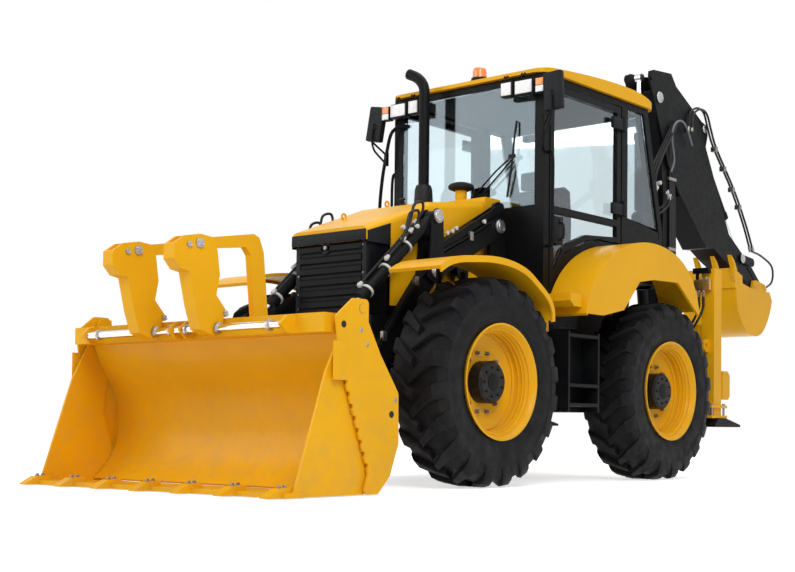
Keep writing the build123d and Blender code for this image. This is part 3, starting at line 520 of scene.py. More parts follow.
# ---- tyres and wheel detail ----------------------------------------------------
CROWN = TYRE_R - 0.036
CARCASS = [  # distance from the wheel's middle, radius
    (-0.180, 0.376), (-0.194, 0.392), (-0.199, 0.43), (-0.203, 0.434), (-0.209, 0.47), (-0.212, 0.52),
    (-0.209, 0.566), (-0.211, 0.572), (-0.208, 0.578), (-0.203, 0.618), (-0.188, 0.648), (-0.160, 0.662),
    (-0.08, CROWN - 0.001), (0.08, CROWN - 0.001), (0.160, 0.662), (0.188, 0.648), (0.203, 0.618),
    (0.208, 0.578), (0.211, 0.572), (0.209, 0.566), (0.212, 0.52), (0.209, 0.47), (0.203, 0.434),
    (0.199, 0.43), (0.194, 0.392), (0.180, 0.376)]
LUGS = 20
CARCASS_STEPS = 120
LUG_PATH = [  # outward, radius of the top, turn along the tread, half width, depth
    (-0.012, TYRE_R, 0.0, 0.030, 0.040), (0.060, TYRE_R, 0.062, 0.034, 0.040),
    (0.125, TYRE_R - 0.002, 0.125, 0.040, 0.040), (0.172, TYRE_R - 0.010, 0.150, 0.046, 0.040),
    (0.199, 0.664, 0.158, 0.050, 0.036), (0.2095, 0.628, 0.162, 0.050, 0.022),
            (0.2115, 0.596, 0.164, 0.044, 0.012)]


def tyre_piece(corner, x, side):
    piece = Piece()
    centre = Vector((x, side * TRACK, WHEEL_Z))

    def place(out, radius, angle):
        return centre + Vector((radius * math.cos(angle), out, radius * math.sin(angle)))

    loops = []
    for out, radius in CARCASS:
        loops.append([piece.mesh.verts.new(place(out, radius, 2 * math.pi * i / CARCASS_STEPS))
                      for i in range(CARCASS_STEPS)])
    for a, b in zip(loops, loops[1:] + loops[:1]):
        for i in range(CARCASS_STEPS):
            j = (i + 1) % CARCASS_STEPS
            piece.mesh.faces.new((a[i], a[j], b[j], b[i]))
    pitch = 2 * math.pi / LUGS
    for half in (1, -1):
        for lug in range(LUGS):
            start = pitch * (lug + (0.5 if half < 0 else 0.0))
            rows = []
            for out, top, turn, width, depth in LUG_PATH:
                angle = start + turn * 1.25 * side
                wide = width / top
                rows.append([place(half * out, top - depth - 0.012, angle - wide * 1.25),
                             place(half * out, top - 0.006, angle - wide * 1.02),
                             place(half * out, top, angle - wide * 0.86),
                             place(half * out, top, angle + wide * 0.86),
                             place(half * out, top - 0.006, angle + wide * 1.02),
                             place(half * out, top - depth - 0.012, angle + wide * 1.25)])
            piece.rings(rows)
    thing = piece.done(f"tread_{corner}", tyre_rubber, f"wheel_{corner}", 32)
    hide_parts(f"tyre_{corner}")


RIM_STEPS = ((0.176, 0.352), (0.128, 0.3385), (0.094, 0.3370), (0.056, 0.318))  # outward, radius
RIM_STEP_R = 0.006
RIM_STEP_SIDES = 64
WHEEL_NUTS, NUT_CIRCLE, NUT_FACE = 12, 0.203, 0.036
HUB_BOLTS, HUB_CIRCLE, HUB_FACE = 9, 0.098, 0.135


def wheel_detail(corner, x, side):
    nuts = Piece()
    face = side * (TRACK + NUT_FACE)
    for i in range(WHEEL_NUTS):
        a = 2 * math.pi * (i + 0.5) / WHEEL_NUTS
        centre = Vector((x + NUT_CIRCLE * math.cos(a), face, WHEEL_Z + NUT_CIRCLE * math.sin(a)))
        nuts.hexagon(centre - Vector((0, side * 0.012, 0)), centre + Vector((0, side * 0.020, 0)), 0.0135)
        nuts.rod(centre, centre + Vector((0, side * 0.030, 0)), 0.0075, 10)
    nuts.done(f"wheel_nuts_{corner}", bolt_steel, f"wheel_{corner}")
    steps = Piece()
    for out, radius in RIM_STEPS:
        circle = []
        for i in range(RIM_STEP_SIDES + 1):
            a = 2 * math.pi * i / RIM_STEP_SIDES
            circle.append(Vector((x + radius * math.cos(a), side * (TRACK + out),
                                  WHEEL_Z + radius * math.sin(a))))
        steps.tube(circle, RIM_STEP_R, 1, 8, False)
    steps.done(f"rim_steps_{corner}", yellow, f"wheel_{corner}")
    hub = Piece()
    out = side * (TRACK + HUB_FACE)
    for i in range(HUB_BOLTS):
        a = 2 * math.pi * i / HUB_BOLTS
        centre = Vector((x + HUB_CIRCLE * math.cos(a), out, WHEEL_Z + HUB_CIRCLE * math.sin(a)))
        hub.hexagon(centre - Vector((0, side * 0.003, 0)), centre + Vector((0, side * 0.008, 0)), 0.0085)
    middle_of_hub = Vector((x, out - side * 0.002, WHEEL_Z))
    hub.turned(middle_of_hub, middle_of_hub + Vector((0, side, 0)),
               [(0, 0.062), (0.006, 0.060), (0.008, 0.045), (0.009, 0.030), (0.0105, 0.010)], 36)
    hub.done(f"hub_cover_{corner}", black, f"wheel_{corner}")


for corner, x, side in (("front_left", FRONT_X, 1), ("front_right", FRONT_X, -1),
                        ("rear_left", AXLE_X, 1), ("rear_right", AXLE_X, -1)):
    tyre_piece(corner, x, side)
    wheel_detail(corner, x, side)

# ---- front bucket and forks ------------------------------------------------------
BUCKET_SIDE = box_of("bucket_back")[1].y
ARM_PIVOT = (1.450, 1.890)  # pins of the loader from the side, x and z
KNEE = (2.205, 1.484)
LEVER_TOP = (2.185, 1.872)
BUCKET_PIN = (3.420, 0.280)
BUCKET_TEETH = 7
TOOTH_SPAN = 2.260


def cap(piece, x, z, y0, y1, radius, bolt=0.012):
    """Pin end: turned boss, keeper bolt and grease nipple; y0 is its root and y1 its face."""
    sign = 1 if y1 > y0 else -1
    length = abs(y1 - y0)
    piece.turned(at(x, y0, z), at(x, y1, z),
                 [(0, radius), (length * 0.6, radius), (length * 0.85, radius * 0.93),
                                              (length * 0.86, radius * 0.55), (length, radius * 0.5)], 28)
    for a in (0.6, 3.7):
        bx = x + radius * 0.72 * math.cos(a)
        bz = z + radius * 0.72 * math.sin(a)
        piece.hexagon(at(bx, y0 + sign * length * 0.8, bz), at(bx, y1 + sign * 0.004, bz), bolt * 0.5)


plates = Piece()
pins = Piece()
hole_shade_discs = Piece()
for side in (1, -1):
    face = side * (BUCKET_SIDE - 0.006)
    for x, z, r in ((3.725, 1.075, 0.030), (3.732, 0.951, 0.014), (3.681, 0.868, 0.014),
                    (3.434, 0.557, 0.014)):
        pins.hexagon(at(x, face - side * 0.004, z), at(x, face + side * 0.010, z), r)
    # dark discs over the side plate's bores: painted shade standing in for the dark inside of open bores
    for x, z in ((3.877, 0.976), (3.467, 0.472)):
        hole_shade_discs.turned(at(x, face, z), at(x, face + side * 0.1, z),
                     [(0, 0.020), (0.0075, 0.020), (0.008, 0.017)], 24)
    plates.slab([(3.700, 0.985), (3.750, 0.975), (3.712, 0.850), (3.662, 0.862)],
                *sorted((face - side * 0.002, face + side * 0.005)))
    plates.block(at(3.86, side * 1.222 - 0.003, 0.66), at(3.96, side * 1.222 + 0.003, 0.88), 0.002)
plates.done("side_wear_plates", yellow, "bucket")
pins.done("side_bolts", bolt_steel, "bucket")
hole_shade_discs.done("side_hole_shade_discs", seal, "bucket")

teeth = Piece()
tooth_ys = [-TOOTH_SPAN / 2 + TOOTH_SPAN * k / (BUCKET_TEETH - 1) for k in range(BUCKET_TEETH)]
for y in tooth_ys:
    for dx in (0.028, 0.070):
        teeth.hexagon(at(4.205 + dx, y, 0.062), at(4.205 + dx, y, 0.078), 0.012)
teeth.done("tooth_bolts", bolt_steel, "jaw")

shaft = Piece()
collars = Piece()
SHAFT = (4.050, 0.977)
for y0, y1 in ((-0.905, -0.345), (-0.228, -0.066), (0.066, 0.228), (0.345, 0.905), (-0.035, 0.035)):
    shaft.rod(at(SHAFT[0], y0, SHAFT[1]), at(SHAFT[0], y1, SHAFT[1]), 0.0237, 28)
for y in (-0.36, -0.222, -0.075, 0.075, 0.222, 0.36, -0.80, 0.80):
    collars.turned(at(SHAFT[0], y - 0.011, SHAFT[1]), at(SHAFT[0], y + 0.011, SHAFT[1]),
                   [(0, 0.030), (0.002, 0.034), (0.020, 0.034), (0.022, 0.030)], 28)
shaft.done("fork_shaft_sleeve", chrome, "bucket")
collars.done("fork_shaft_collars", steel, "bucket")

fork_pins = Piece()
for side in (1, -1):
    for y0, y1 in ((0.335, 0.349), (0.240, 0.226)):
        for x, z, r in ((4.185, 1.470, 0.030), (4.264, 1.455, 0.018), (3.980, 1.070, 0.018)):
            cap(fork_pins, x, z, side * y0, side * y1, r)
fork_pins.done("fork_pin_caps", steel, "fork_arms")

# ---- loader arms --------------------------------------------------------------------
arm_caps = Piece()
for side in (1, -1):
    cap(arm_caps, *ARM_PIVOT, side * 0.470, side * 0.492, 0.052)
    cap(arm_caps, *KNEE, side * 0.488, side * 0.506, 0.048)
arm_caps.done("arm_pin_caps", steel, "arms")
pin_caps = Piece()
for side in (1, -1):
    cap(pin_caps, *BUCKET_PIN, side * 0.488, side * 0.506, 0.046)
pin_caps.done("bucket_pin_caps", steel, "bucket_pins")
lever_caps = Piece()
for side in (1, -1):
    cap(lever_caps, *LEVER_TOP, side * 0.500, side * 0.510, 0.040)
lever_caps.done("lever_pin_caps", steel, "tilt_pins")

lines = Piece()
fittings = Piece()
ARM_LINE_Y = 0.478
for lift in (0.020, 0.050):
    path_points = [at(1.56, 0.475, 1.86 + lift), at(1.80, ARM_LINE_Y, 1.735 + lift),
                   at(2.10, ARM_LINE_Y, 1.590 + lift), at(2.34, ARM_LINE_Y, 1.42 + lift),
                   at(2.66, ARM_LINE_Y, 1.03 + lift),
                   at(2.95, 0.476, 0.68 + lift)]
    lines.tube(path_points, 0.008, 6, 10)
    fittings.rod(path_points[-1], path_points[-1] + Vector((0.03, 0, -0.035)), 0.012, 12)
for x, z in ((1.80, 1.765), (2.40, 1.385), (2.72, 0.99)):
    fittings.block(at(x - 0.02, 0.462, z - 0.02), at(x + 0.02, 0.490, z + 0.045), 0.004)
lines.done("arm_steel_lines", black, "arms", mirror=True)
whites = Piece()
for x, z in ((2.544, 1.752), (2.399, 1.776), (2.075, 1.767), (2.019, 1.788), (1.975, 1.814), (1.652, 1.901)):
    whites.turned(at(x, 0.470, z), at(x, 0.5, z),
                  [(0, 0.012), (0.010, 0.012), (0.012, 0.017), (0.022, 0.017), (0.026, 0.010)], 6)
whites.done("arm_line_fittings", white_mark, "arms", mirror=True)
fittings.done("arm_line_clamps", bolt_steel, "arms", mirror=True)

RAM_HEAD = Vector(LEVER_TOP)
RAM_AHEAD = Vector((0.7508, -0.6605))
RAM_ABOVE = Vector((-RAM_AHEAD.y, RAM_AHEAD.x))
RAM_LINE_HEIGHT = 0.062
ram_lines = Piece()
ram_fittings = Piece()


def on_ram(along, height, y):
    """Place over the tilt ram's barrel."""
    flat = RAM_HEAD + RAM_AHEAD * along + RAM_ABOVE * height
    return at(flat.x, y, flat.y)


for y, first, last in ((0.412, 0.13, 0.90), (0.446, 0.24, 0.60)):
    ram_lines.tube([on_ram(first, RAM_LINE_HEIGHT, y), on_ram((first + last) / 2, 0.064, y),
                    on_ram(last, RAM_LINE_HEIGHT, y)], 0.009, 6, 10)
    ram_lines.tube([on_ram(first, RAM_LINE_HEIGHT, y), on_ram(first - 0.07, 0.085, y + 0.02),
                    on_ram(first - 0.10, 0.140, y + 0.03),
                    on_ram(first - 0.02, 0.175, y + 0.03), on_ram(first + 0.07, 0.120, y + 0.025),
                    on_ram(first + 0.16, 0.066, y + 0.012)], 0.010, 6, 10)
    for along in (first, first + 0.10, last - 0.04):
        ram_fittings.turned(on_ram(along, RAM_LINE_HEIGHT, y), on_ram(along + 0.05, RAM_LINE_HEIGHT, y),
                            [(0, 0.013), (0.016, 0.013), (0.018, 0.017), (0.036, 0.017), (0.044, 0.011)], 6)
for along in (0.35, 0.62,
              0.86):  # bands on the barrel, closed discs that the rod crosses when it is drawn in
    ram_fittings.turned(on_ram(along, 0.0, 0.430), on_ram(along + 0.02, 0.0, 0.430),
                        [(0, 0.0475), (0.003, 0.0495), (0.020, 0.0495)], 28)
ram_lines.done("tilt_ram_hoses", hose_rubber, "tilt_barrels", mirror=True)
ram_fittings.done("tilt_ram_fittings", white_mark, "tilt_barrels", mirror=True)

# ---- nose, hood and stacks ------------------------------------------------------------
NOSE_X = box_of("grille")[1].x
EXHAUST = (1.420, -0.300)  # from above, x and y
INTAKE = (1.40, 0.06)
BEACON = (1.20, 0.075)
nose = Piece()
screws = Piece()
for y, z in ((-0.268, 1.631), (0.300, 1.628), (-0.311, 1.446), (0.306, 1.439), (-0.311, 1.318),
             (0.306, 1.30),
             (-0.311, 1.219), (0.306, 1.20)):
    screws.hexagon(Vector((NOSE_X - 0.016, y, z)), Vector((NOSE_X - 0.006, y, z)), 0.009)
nose.turned(Vector((NOSE_X - 0.014, -0.045, 1.628)), Vector((NOSE_X + 0.02, -0.045, 1.628)),
            [(0, 0.046), (0.010, 0.045), (0.014, 0.040), (0.014, 0.024), (0.018, 0.022)], 32)
screws.turned(Vector((NOSE_X - 0.002, -0.045, 1.628)), Vector((NOSE_X + 0.02, -0.045, 1.628)),
              [(0, 0.015), (0.006, 0.015), (0.008, 0.012)], 20)
for y in (-0.315, 0.315):
    nose.block(Vector((NOSE_X - 0.017, y - 0.020, 1.19)), Vector((NOSE_X - 0.006, y + 0.020, 1.655)), 0.004)
nose.done("nose_panel_edges", trim, "chassis")
screws.done("nose_screws", bolt_steel, "chassis")

hood_lip = Piece()
hood_lip.block(at(2.762, -0.352, 1.655), at(2.778, 0.352, 1.728), 0.004)
for side in (1, -1):
    y0, y1 = sorted((side * 0.356, side * 0.366))
    hood_lip.slab([(2.535, 1.640), (2.764, 1.640), (2.764, 1.716), (2.535, 1.792)], y0, y1)
hood_lip.done("hood_lip", trim, "hood")
hood_eyes = Piece()
for x, y, z in ((1.953, -0.20, 2.055), (2.413, -0.20, 1.902)):
    for k in range(12):
        a = 2 * math.pi * k / 12
        b = 2 * math.pi * (k + 1) / 12
        hood_eyes.rod(at(x + 0.020 * math.cos(a), y, z + 0.020 * math.sin(a)),
                      at(x + 0.020 * math.cos(b), y, z + 0.020 * math.sin(b)), 0.008, 10, 0.001)
    hood_eyes.rod(at(x, y, z - 0.050), at(x, y, z - 0.018), 0.013, 16)
hood_eyes.done("hood_lift_eyes", yellow, "hood")
hood_trim = Piece()
hood_trim.turned(at(2.00, 0.0, 2.022), at(2.02, 0.0, 2.075),
                 [(0, 0.028), (0.006, 0.030), (0.010, 0.018), (0.030, 0.016),
                                                             (0.034, 0.028), (0.050, 0.026)], 20)
hood_trim.done("hood_lock_knob", trim, "hood")

stack = Piece()
stack.turned(at(*EXHAUST, 2.115), at(*EXHAUST, 2.3),
             [(0, 0.074), (0.010, 0.076), (0.070, 0.072), (0.130, 0.069), (0.165, 0.058), (0.170, 0.044)],
             32)
stack.done("exhaust_boot", seal, "chassis")
cleaner = Piece()
cleaner.turned(at(*INTAKE, 2.205), at(*INTAKE, 2.30),
               [(0, 0.062), (0.012, 0.092), (0.020, 0.099), (0.036, 0.099),
                                                          (0.050, 0.086), (0.062, 0.050), (0.066, 0.015)],
               40)
cleaner.done("intake_cap", trim, "chassis")

# ---- cab ---------------------------------------------------------------------------------
lamps = Piece()
lenses = Piece()
ambers = Piece()
arms = Piece()
for side in (1, -1):
    for near, far_, low_z, high_z in ((0.405, 0.515, 2.875, 2.990), (0.535, 0.705, 2.870, 2.985)):
        y0, y1 = sorted((side * near, side * far_))
        lamps.block(at(1.305, y0, low_z), at(1.372, y1, high_z), 0.012)
        lenses.block(at(1.368, y0 + 0.010, low_z + 0.010), at(1.378, y1 - 0.010, high_z - 0.010), 0.005)
        arms.block(at(1.290, (y0 + y1) / 2 - 0.035, 2.975), at(1.345, (y0 + y1) / 2 + 0.035, 3.005), 0.004)
    y0, y1 = sorted((side * 0.722, side * 0.800))
    lamps.block(at(1.300, y0, 2.866), at(1.364, y1, 2.980), 0.012)
    lenses.block(at(1.360, y0 + 0.006, 2.872), at(1.370, y1 - 0.006, 2.918), 0.005)
    ambers.block(at(1.360, y0 + 0.006, 2.922), at(1.370, y1 - 0.006, 2.974), 0.005)
    for y in (side * 0.46, side * 0.62):
        for dy in (-0.024, 0.024):
            arms.tube([at(1.366, y + dy, 3.015), at(1.374, y + dy * 0.5, 3.030), at(1.366, y, 3.012)],
                      0.0045, 4, 8)
for y0 in (0.50, -0.50):
    lamps.block(at(-0.335, y0 - 0.085, 2.945), at(-0.262, y0 + 0.085, 3.035), 0.014)
    lenses.block(at(-0.342, y0 - 0.072, 2.955), at(-0.332, y0 + 0.072, 3.025), 0.006)
lamps.done("work_lamp_bodies", trim, "chassis")
lenses.done("work_lamp_lenses", lens_clear, "chassis")
ambers.done("front_turn_lamps", lens_amber, "chassis")
arms.done("work_lamp_brackets", black, "chassis")

beacon = Piece()
beacon.turned(at(*BEACON, 3.080), at(*BEACON, 3.2), [(0, 0.066), (0.012, 0.070), (0.030, 0.066)], 32)
beacon.done("beacon_base", trim, "chassis")
dome = Piece()
dome.turned(at(*BEACON, 3.108), at(*BEACON, 3.2), [(0, 0.058), (0.05, 0.056), (0.075, 0.050), (0.088, 0.030),
                                                        (0.092, 0.010)], 32)
dome.done("beacon_dome", lens_amber, "chassis")

MIRROR_FOOT_Y = 0.775
mirrors = Piece()
faces = Piece()
stems = Piece()
for side, y_mid, z_mid, lean in ((-1, -0.882, 2.855, -0.19), (1, 0.868, 2.868, 0.04)):
    turn = Matrix.Rotation(lean, 4, "X")
    mirrors.block(at(1.305, y_mid - 0.078, z_mid - 0.142), at(1.362, y_mid + 0.078, z_mid + 0.142), 0.026,
                  turn)
    faces.block(at(1.3005, y_mid - 0.064, z_mid - 0.126), at(1.3065, y_mid + 0.064, z_mid + 0.126), 0.002,
                turn)
    mirrors.rod(at(1.358, y_mid, z_mid - 0.03), at(1.372, y_mid, z_mid - 0.03), 0.018, 20)
    stems.tube([at(1.366, y_mid, z_mid), at(1.375, y_mid + side * 0.012, z_mid - 0.12),
                at(1.370, y_mid, z_mid - 0.20),
                at(1.352, y_mid - side * 0.03, z_mid - 0.252),
                at(1.33, side * MIRROR_FOOT_Y, z_mid - 0.335)],
               0.0085, 8, 10)
    stems.tube([at(1.374, y_mid, z_mid - 0.155), at(1.33, side * MIRROR_FOOT_Y, z_mid - 0.262)], 0.0085, 1,
               10,
               False)
    stems.block(at(1.315, side * MIRROR_FOOT_Y - 0.014, z_mid - 0.35),
                at(1.345, side * MIRROR_FOOT_Y + 0.014, z_mid - 0.24), 0.004)
stems.tube([at(1.262, -0.585, 2.812), at(1.292, -0.64, 2.815), at(1.31, -0.700, 2.800),
            at(1.322, -0.742, 2.745),
            at(1.33, -0.775, 2.60), at(1.325, -0.822, 2.40), at(1.30, -0.868, 2.190),
            at(1.285, -0.868, 2.08),
            at(1.262, -0.735, 2.03)], 0.014, 8, 12)
stems.tube([at(1.262, 0.735, 2.70), at(1.30, 0.755, 2.70), at(1.33, 0.775, 2.66), at(1.33, 0.775, 2.50),
            at(1.30, 0.755, 2.46), at(1.262, 0.735, 2.46)], 0.012, 8, 12)
mirrors.done("mirror_housings", trim, "chassis")
faces.done("mirror_faces", mirror_face, "chassis")
stems.done("mirror_stems", black, "chassis")

wiper = Piece()
blade = [at(1.279, 0.492, 2.706), at(1.292, 0.482, 2.58), at(1.296, 0.470, 2.445), at(1.292, 0.445, 2.30),
         at(1.281, 0.409, 2.141)]
wiper.tube(blade, 0.007, 6, 8)
wiper.tube([p + Vector((-0.008, 0, 0)) for p in blade], 0.005, 6, 8)
for base in (0.092, 0.160):
    wiper.tube([at(1.280, base, 2.165), at(1.298, base + 0.03, 2.185), at(1.306, base + 0.22, 2.335),
                at(1.300, 0.455 + (base - 0.092) * 0.4, 2.430)], 0.0065, 6, 8)
    wiper.rod(at(1.262, base, 2.165), at(1.296, base, 2.165), 0.018, 16)
wiper.block(at(1.262, 0.062, 2.140), at(1.284, 0.190, 2.190), 0.006)
wiper.block(at(1.294, 0.440, 2.425), at(1.312, 0.500, 2.455), 0.004)
wiper.done("wiper", trim, "chassis")

rails = Piece()
for side in (1, -1):
    rails.tube([at(1.225, side * 0.742, 1.75), at(1.232, side * 0.792, 1.78), at(1.235, side * 0.796, 2.10),
                at(1.232, side * 0.792, 2.42), at(1.225, side * 0.742, 2.45)], 0.012, 6, 10)
rails.done("grab_rails", black, "chassis")
for name, side in (("left", 1), ("right", -1)):
    handle = Piece()
    handle.block(at(1.040, side * 0.748 - 0.010, 1.775), at(1.150, side * 0.748 + 0.010, 1.985), 0.012)
    handle.tube([at(1.085, side * 0.757, 1.81), at(1.085, side * 0.792, 1.83), at(1.085, side * 0.792, 1.92),
                 at(1.085, side * 0.757, 1.94)], 0.009, 6, 10)
    handle.turned(at(1.085, side * 0.756, 1.960), at(1.085, side * 0.764, 1.960),
                  [(0, 0.012), (0.006, 0.012), (0.008, 0.009)], 16)
    for z in (2.15, 2.835):
        handle.block(at(0.165, side * 0.757 - 0.016, z - 0.046),
                     at(0.365, side * 0.757 + 0.016, z + 0.046), 0.010)
        handle.rod(at(0.200, side * 0.772, z - 0.052), at(0.200, side * 0.772, z + 0.052), 0.016, 20)
    handle.done(f"door_handle_{name}", trim, f"door_{name}")

SEAT_HALF = 0.252
CONSOLE_Y = 0.32
inside = Piece()
cushion = [(0.238, 1.612), (0.700, 1.604), (0.742, 1.640), (0.738, 1.718), (0.690, 1.752), (0.500, 1.746),
           (0.330, 1.758),
           (0.238, 1.752)]
backrest = [(0.186, 1.700), (0.318, 1.748), (0.310, 1.880), (0.326, 2.050), (0.314, 2.250), (0.316, 2.352),
            (0.262, 2.384),
            (0.192, 2.362), (0.170, 2.100)]
for outline in (cushion, backrest):
    inside.slab(outline, -SEAT_HALF, SEAT_HALF, 0.024)
for y in (-0.212, 0.212):
    inside.tube([at(0.26, y, 1.755), at(0.45, y, 1.768), at(0.62, y, 1.762), at(0.70, y, 1.735)], 0.036, 6,
                14)
    inside.tube([at(0.315, y, 1.80), at(0.330, y, 1.98), at(0.336, y, 2.14), at(0.318, y, 2.30)], 0.034, 6,
                14)
inside.block(at(0.30, -0.13, 2.37), at(0.38, 0.13, 2.52), 0.03)
inside.done("seat_cushions", seat_cloth, "chassis", 60)
bellows = Piece()
for fold in range(7):
    bellows.block(at(0.316, -0.174, 1.218 + fold * 0.056), at(0.634, 0.174, 1.272 + fold * 0.056), 0.022)
for side in (1, -1):
    y0, y1 = sorted((side * 0.280, side * 0.360))
    bellows.block(at(0.36, y0, 1.86), at(0.76, y1, 1.92), 0.02)
    bellows.block(at(0.40, y0, 1.24), at(0.72, y1, 1.86), 0.03)
    bellows.tube([at(0.68, side * CONSOLE_Y, 1.91), at(0.70, side * CONSOLE_Y, 2.00),
                  at(0.72, side * CONSOLE_Y, 2.06)],
                 0.012, 6, 10)
    bellows.turned(at(0.72, side * CONSOLE_Y, 2.05), at(0.735, side * CONSOLE_Y, 2.12),
                   [(0, 0.014), (0.02, 0.024), (0.05, 0.022), (0.068, 0.010)], 16)
bellows.done("seat_bellows_and_consoles", trim, "chassis")
ceiling = Piece()
ceiling.block(at(-0.16, -0.62, 2.982), at(1.20, 0.62, 2.999), 0.006)
ceiling.done("headliner", seat_cloth, "chassis")

# ---- rear frame and backhoe ----------------------------------------------------------------
POST_Y = 0.955
post_bits = Piece()
post_bolts = Piece()
side_plates = Piece()
for side in (1, -1):
    for z in (0.500, 0.586):
        for wall in (1.033, 0.877):
            post_bits.block(at(-1.030, side * wall - 0.012, z), at(-0.760, side * wall + 0.012, z + 0.024),
                            0.004)
        for back, front in ((-0.838, -0.760), (-1.030, -0.982)):
            post_bits.block(at(back, side * POST_Y - 0.070, z),
                            at(front, side * POST_Y + 0.070, z + 0.024), 0.004)
    for x in (-1.010, -0.800):
        for y in (0.890, 1.020):
            post_bolts.rod(at(x, side * y, 0.515), at(x, side * y, 0.595), 0.010, 14)
            post_bolts.hexagon(at(x, side * y, 0.606), at(x, side * y, 0.624), 0.014)
    y0, y1 = sorted((side * 0.998, side * 1.018))
    side_plates.slab([(-1.000, 0.905), (-1.090, 0.905), (-1.127, 0.870), (-1.127, 0.690), (-1.100, 0.660),
                      (-1.000, 0.660)], y0, y1)
post_bits.done("post_collars", yellow, "chassis")
post_bolts.done("post_bolts", bolt_steel, "chassis")
side_plates.done("post_side_plates", yellow, "chassis")
VALVE_X = -0.812
valves = Piece()
brackets = Piece()
taps = Piece()
feeds = Piece()
for side in (1, -1):
    valves.block(at(-0.838, side * 0.923 - 0.076, 1.583), at(-0.790, side * 0.923 + 0.076, 1.677), 0.006)
    brackets.block(at(-0.838, side * 0.913 - 0.076, 1.728), at(-0.790, side * 0.913 + 0.076, 1.776), 0.005)
    brackets.block(at(-0.836, side * 0.868 - 0.010, 1.670), at(-0.806, side * 0.868 + 0.010, 1.735), 0.004)
    for y in (0.888, 0.930):
        taps.hexagon(at(VALVE_X, side * y, 1.586), at(VALVE_X, side * y, 1.530), 0.015)
        taps.hexagon(at(VALVE_X, side * (y + 0.03), 1.675), at(VALVE_X, side * (y + 0.03), 1.700), 0.013)
        feeds.tube([at(VALVE_X, side * y, 1.535), at(-0.808, side * y, 1.44),
                    at(-0.790, side * (y - 0.04), 1.33),
                    at(-0.800, side * (y - 0.12), 1.24), at(-0.84, side * (y - 0.20), 1.205)], 0.0105, 8, 10)
valves.done("stabilizer_valves", brass, "chassis")
brackets.done("stabilizer_valve_brackets", black, "chassis")
taps.done("stabilizer_fittings", bolt_steel, "chassis")
feeds.done("stabilizer_hoses", hose_rubber, "chassis")

DIG_TEETH = 4
DIG_TOOTH_SPAN = 0.56
boom_bits = Piece()
for sign in (1, -1):
    for x, z, r in ((-1.483, 2.568, 0.052), (-1.545, 0.950, 0.040), (-1.251, 3.426, 0.052)):
        face = DIG_Y + sign * (0.105 if z > 1 else 0.098)
        if z > 3:
            face = DIG_Y + sign * 0.136
        cap(boom_bits, x, z, face - sign * 0.004, face + sign * 0.014, r)
boom_bits.done("boom_pin_caps", steel, "boom")
dipper_bits = Piece()
for sign in (1, -1):
    for x, z, r, root, face in ((-2.104, 3.291, 0.040, 0.128, 0.142), (-2.858, 2.117, 0.044, 0.152, 0.164)):
        cap(dipper_bits, x, z, DIG_Y + sign * root, DIG_Y + sign * face, r)
dipper_bits.done("dipper_pin_caps", steel, "dipper")
dig_bits = Piece()
for k in range(DIG_TEETH):
    y = DIG_Y - DIG_TOOTH_SPAN / 2 + DIG_TOOTH_SPAN * k / (DIG_TEETH - 1)
    for z in (1.885, 1.925):
        dig_bits.hexagon(at(-2.408, y, z), at(-2.396, y, z), 0.011)
dig_bits.done("dig_tooth_bolts", bolt_steel, "dig_bucket")

HOSE_R = 0.0105
hoses = Piece()
ends = Piece()
boom_fittings = Piece()
for k in range(4):
    gap = 0.026 * k
    y = DIG_Y + 0.118
    route = [at(-1.46 - gap, y, 1.30), at(-1.47 - gap, y, 1.70), at(-1.475 - gap, y, 2.20),
             at(-1.47 - gap, y, 2.75), at(-1.42 - gap, y + 0.02, 3.10)]
    hoses.tube(route, HOSE_R, 8, 10)
    ends.rod(route[0], route[0] + Vector((0, 0, 0.05)), 0.0145, 12)
for z in (1.50, 2.05, 2.70):
    ends.block(at(-1.572, DIG_Y + 0.104, z), at(-1.440, DIG_Y + 0.132, z + 0.03), 0.004)
FRONT_BUNDLE = [(-1.467, 3.196), (-1.360, 3.056), (-1.201, 2.846), (-1.105, 2.690), (-1.081, 2.600)]
GREY_LOOP = [(-1.402, 2.763), (-1.456, 2.882), (-1.417, 3.061), (-1.452, 3.197), (-1.562, 3.264),
             (-1.675, 3.228),
             (-1.790, 3.069)]
LOW_HOOK = [(-1.404, 2.560), (-1.369, 2.473), (-1.209, 2.378), (-1.070, 2.279)]
for k in range(3):
    y = DIG_Y + 0.128 + 0.024 * k
    hoses.tube([at(x - 0.014 * k, y, z + 0.010 * k) for x, z in FRONT_BUNDLE], 0.011, 8, 10)
    boom_fittings.turned(at(-1.081 - 0.014 * k, y, 2.610), at(-1.100 - 0.014 * k, y, 2.53),
                         [(0, 0.014), (0.030, 0.014), (0.032, 0.018), (0.055, 0.018), (0.075, 0.012)], 8)
for k in range(2):
    y = DIG_Y + 0.130 + 0.026 * k
    hoses.tube([at(x, y, z - 0.028 * k) for x, z in LOW_HOOK], 0.010, 8, 10)
    boom_fittings.turned(at(-1.404, y, 2.535 - 0.028 * k), at(-1.412, y, 2.62),
                         [(0, 0.013), (0.03, 0.013), (0.032, 0.017), (0.05, 0.017)], 8)
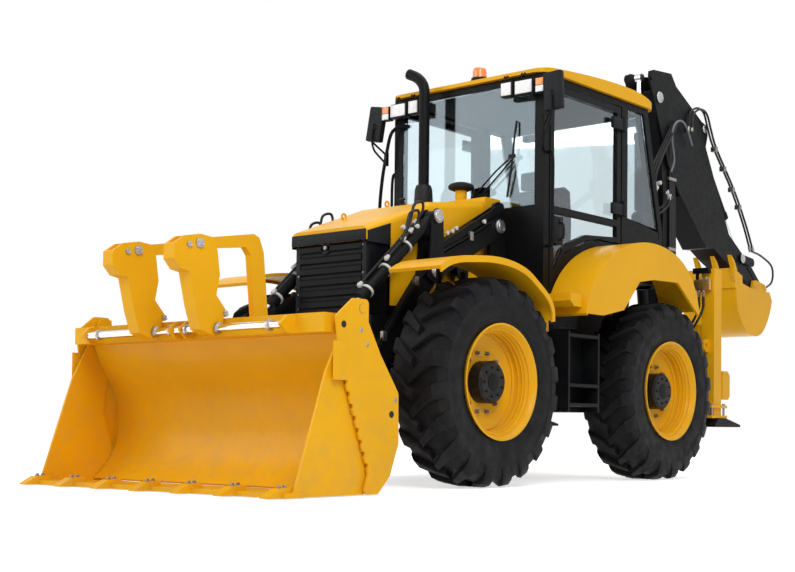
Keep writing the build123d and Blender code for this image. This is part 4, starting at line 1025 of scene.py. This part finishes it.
for x, z in ((-1.240, 2.640), (-1.185, 2.590)):
    boom_fittings.turned(at(x, DIG_Y + 0.10, z), at(x, DIG_Y + 0.2, z),
                         [(0, 0.015), (0.040, 0.015), (0.042, 0.020), (0.060, 0.020), (0.066, 0.012)], 8)
hoses.done("boom_hoses", hose_rubber, "boom")
ends.done("boom_hose_clamps", bolt_steel, "boom")
boom_fittings.done("boom_hose_fittings", white_mark, "boom")
loop = Piece()
loop.tube([at(x, DIG_Y + 0.172, z) for x, z in GREY_LOOP], 0.010, 8, 10)
loop.done("boom_grey_loop", grey_hose, "boom")
dipper_hoses = Piece()
dipper_ends = Piece()
KNEE_LOOP = [(-1.762, 3.242), (-1.790, 3.380), (-1.920, 3.455), (-2.050, 3.430), (-2.135, 3.290),
             (-2.245, 3.130),
             (-2.600, 2.790), (-2.855, 2.480), (-3.010, 2.240)]
NOSE_LOOP = [(-3.030, 2.215), (-3.250, 2.190), (-3.480, 2.123), (-3.540, 2.040), (-3.510, 1.940),
             (-3.400, 1.880)]
for k in range(2):
    y = DIG_Y + 0.150 + 0.024 * k
    dipper_hoses.tube([at(x - 0.020 * k, y, z - 0.012 * k) for x, z in KNEE_LOOP], HOSE_R, 8, 10)
    dipper_ends.rod(at(-1.762 - 0.020 * k, y, 3.250 - 0.012 * k), at(-1.756 - 0.020 * k, y, 3.20), 0.0145,
                    12)
    dipper_ends.rod(at(-2.998 - 0.020 * k, y, 2.255), at(-3.025 - 0.020 * k, y, 2.205), 0.0145, 12)
for x, z in ((-2.245, 3.125), (-2.420, 2.962), (-2.600, 2.785), (-2.740, 2.630)):
    dipper_ends.block(at(x - 0.030, DIG_Y + 0.128, z - 0.035), at(x + 0.016, DIG_Y + 0.186, z + 0.012),
                      0.004)
dipper_hoses.tube([at(x, DIG_Y + 0.150, z) for x, z in NOSE_LOOP], HOSE_R, 8, 10)
dipper_hoses.done("dipper_hoses", hose_rubber, "dipper")
dipper_ends.done("dipper_hose_clamps", bolt_steel, "dipper")

bpy.context.scene.view_settings.view_transform = "Standard"
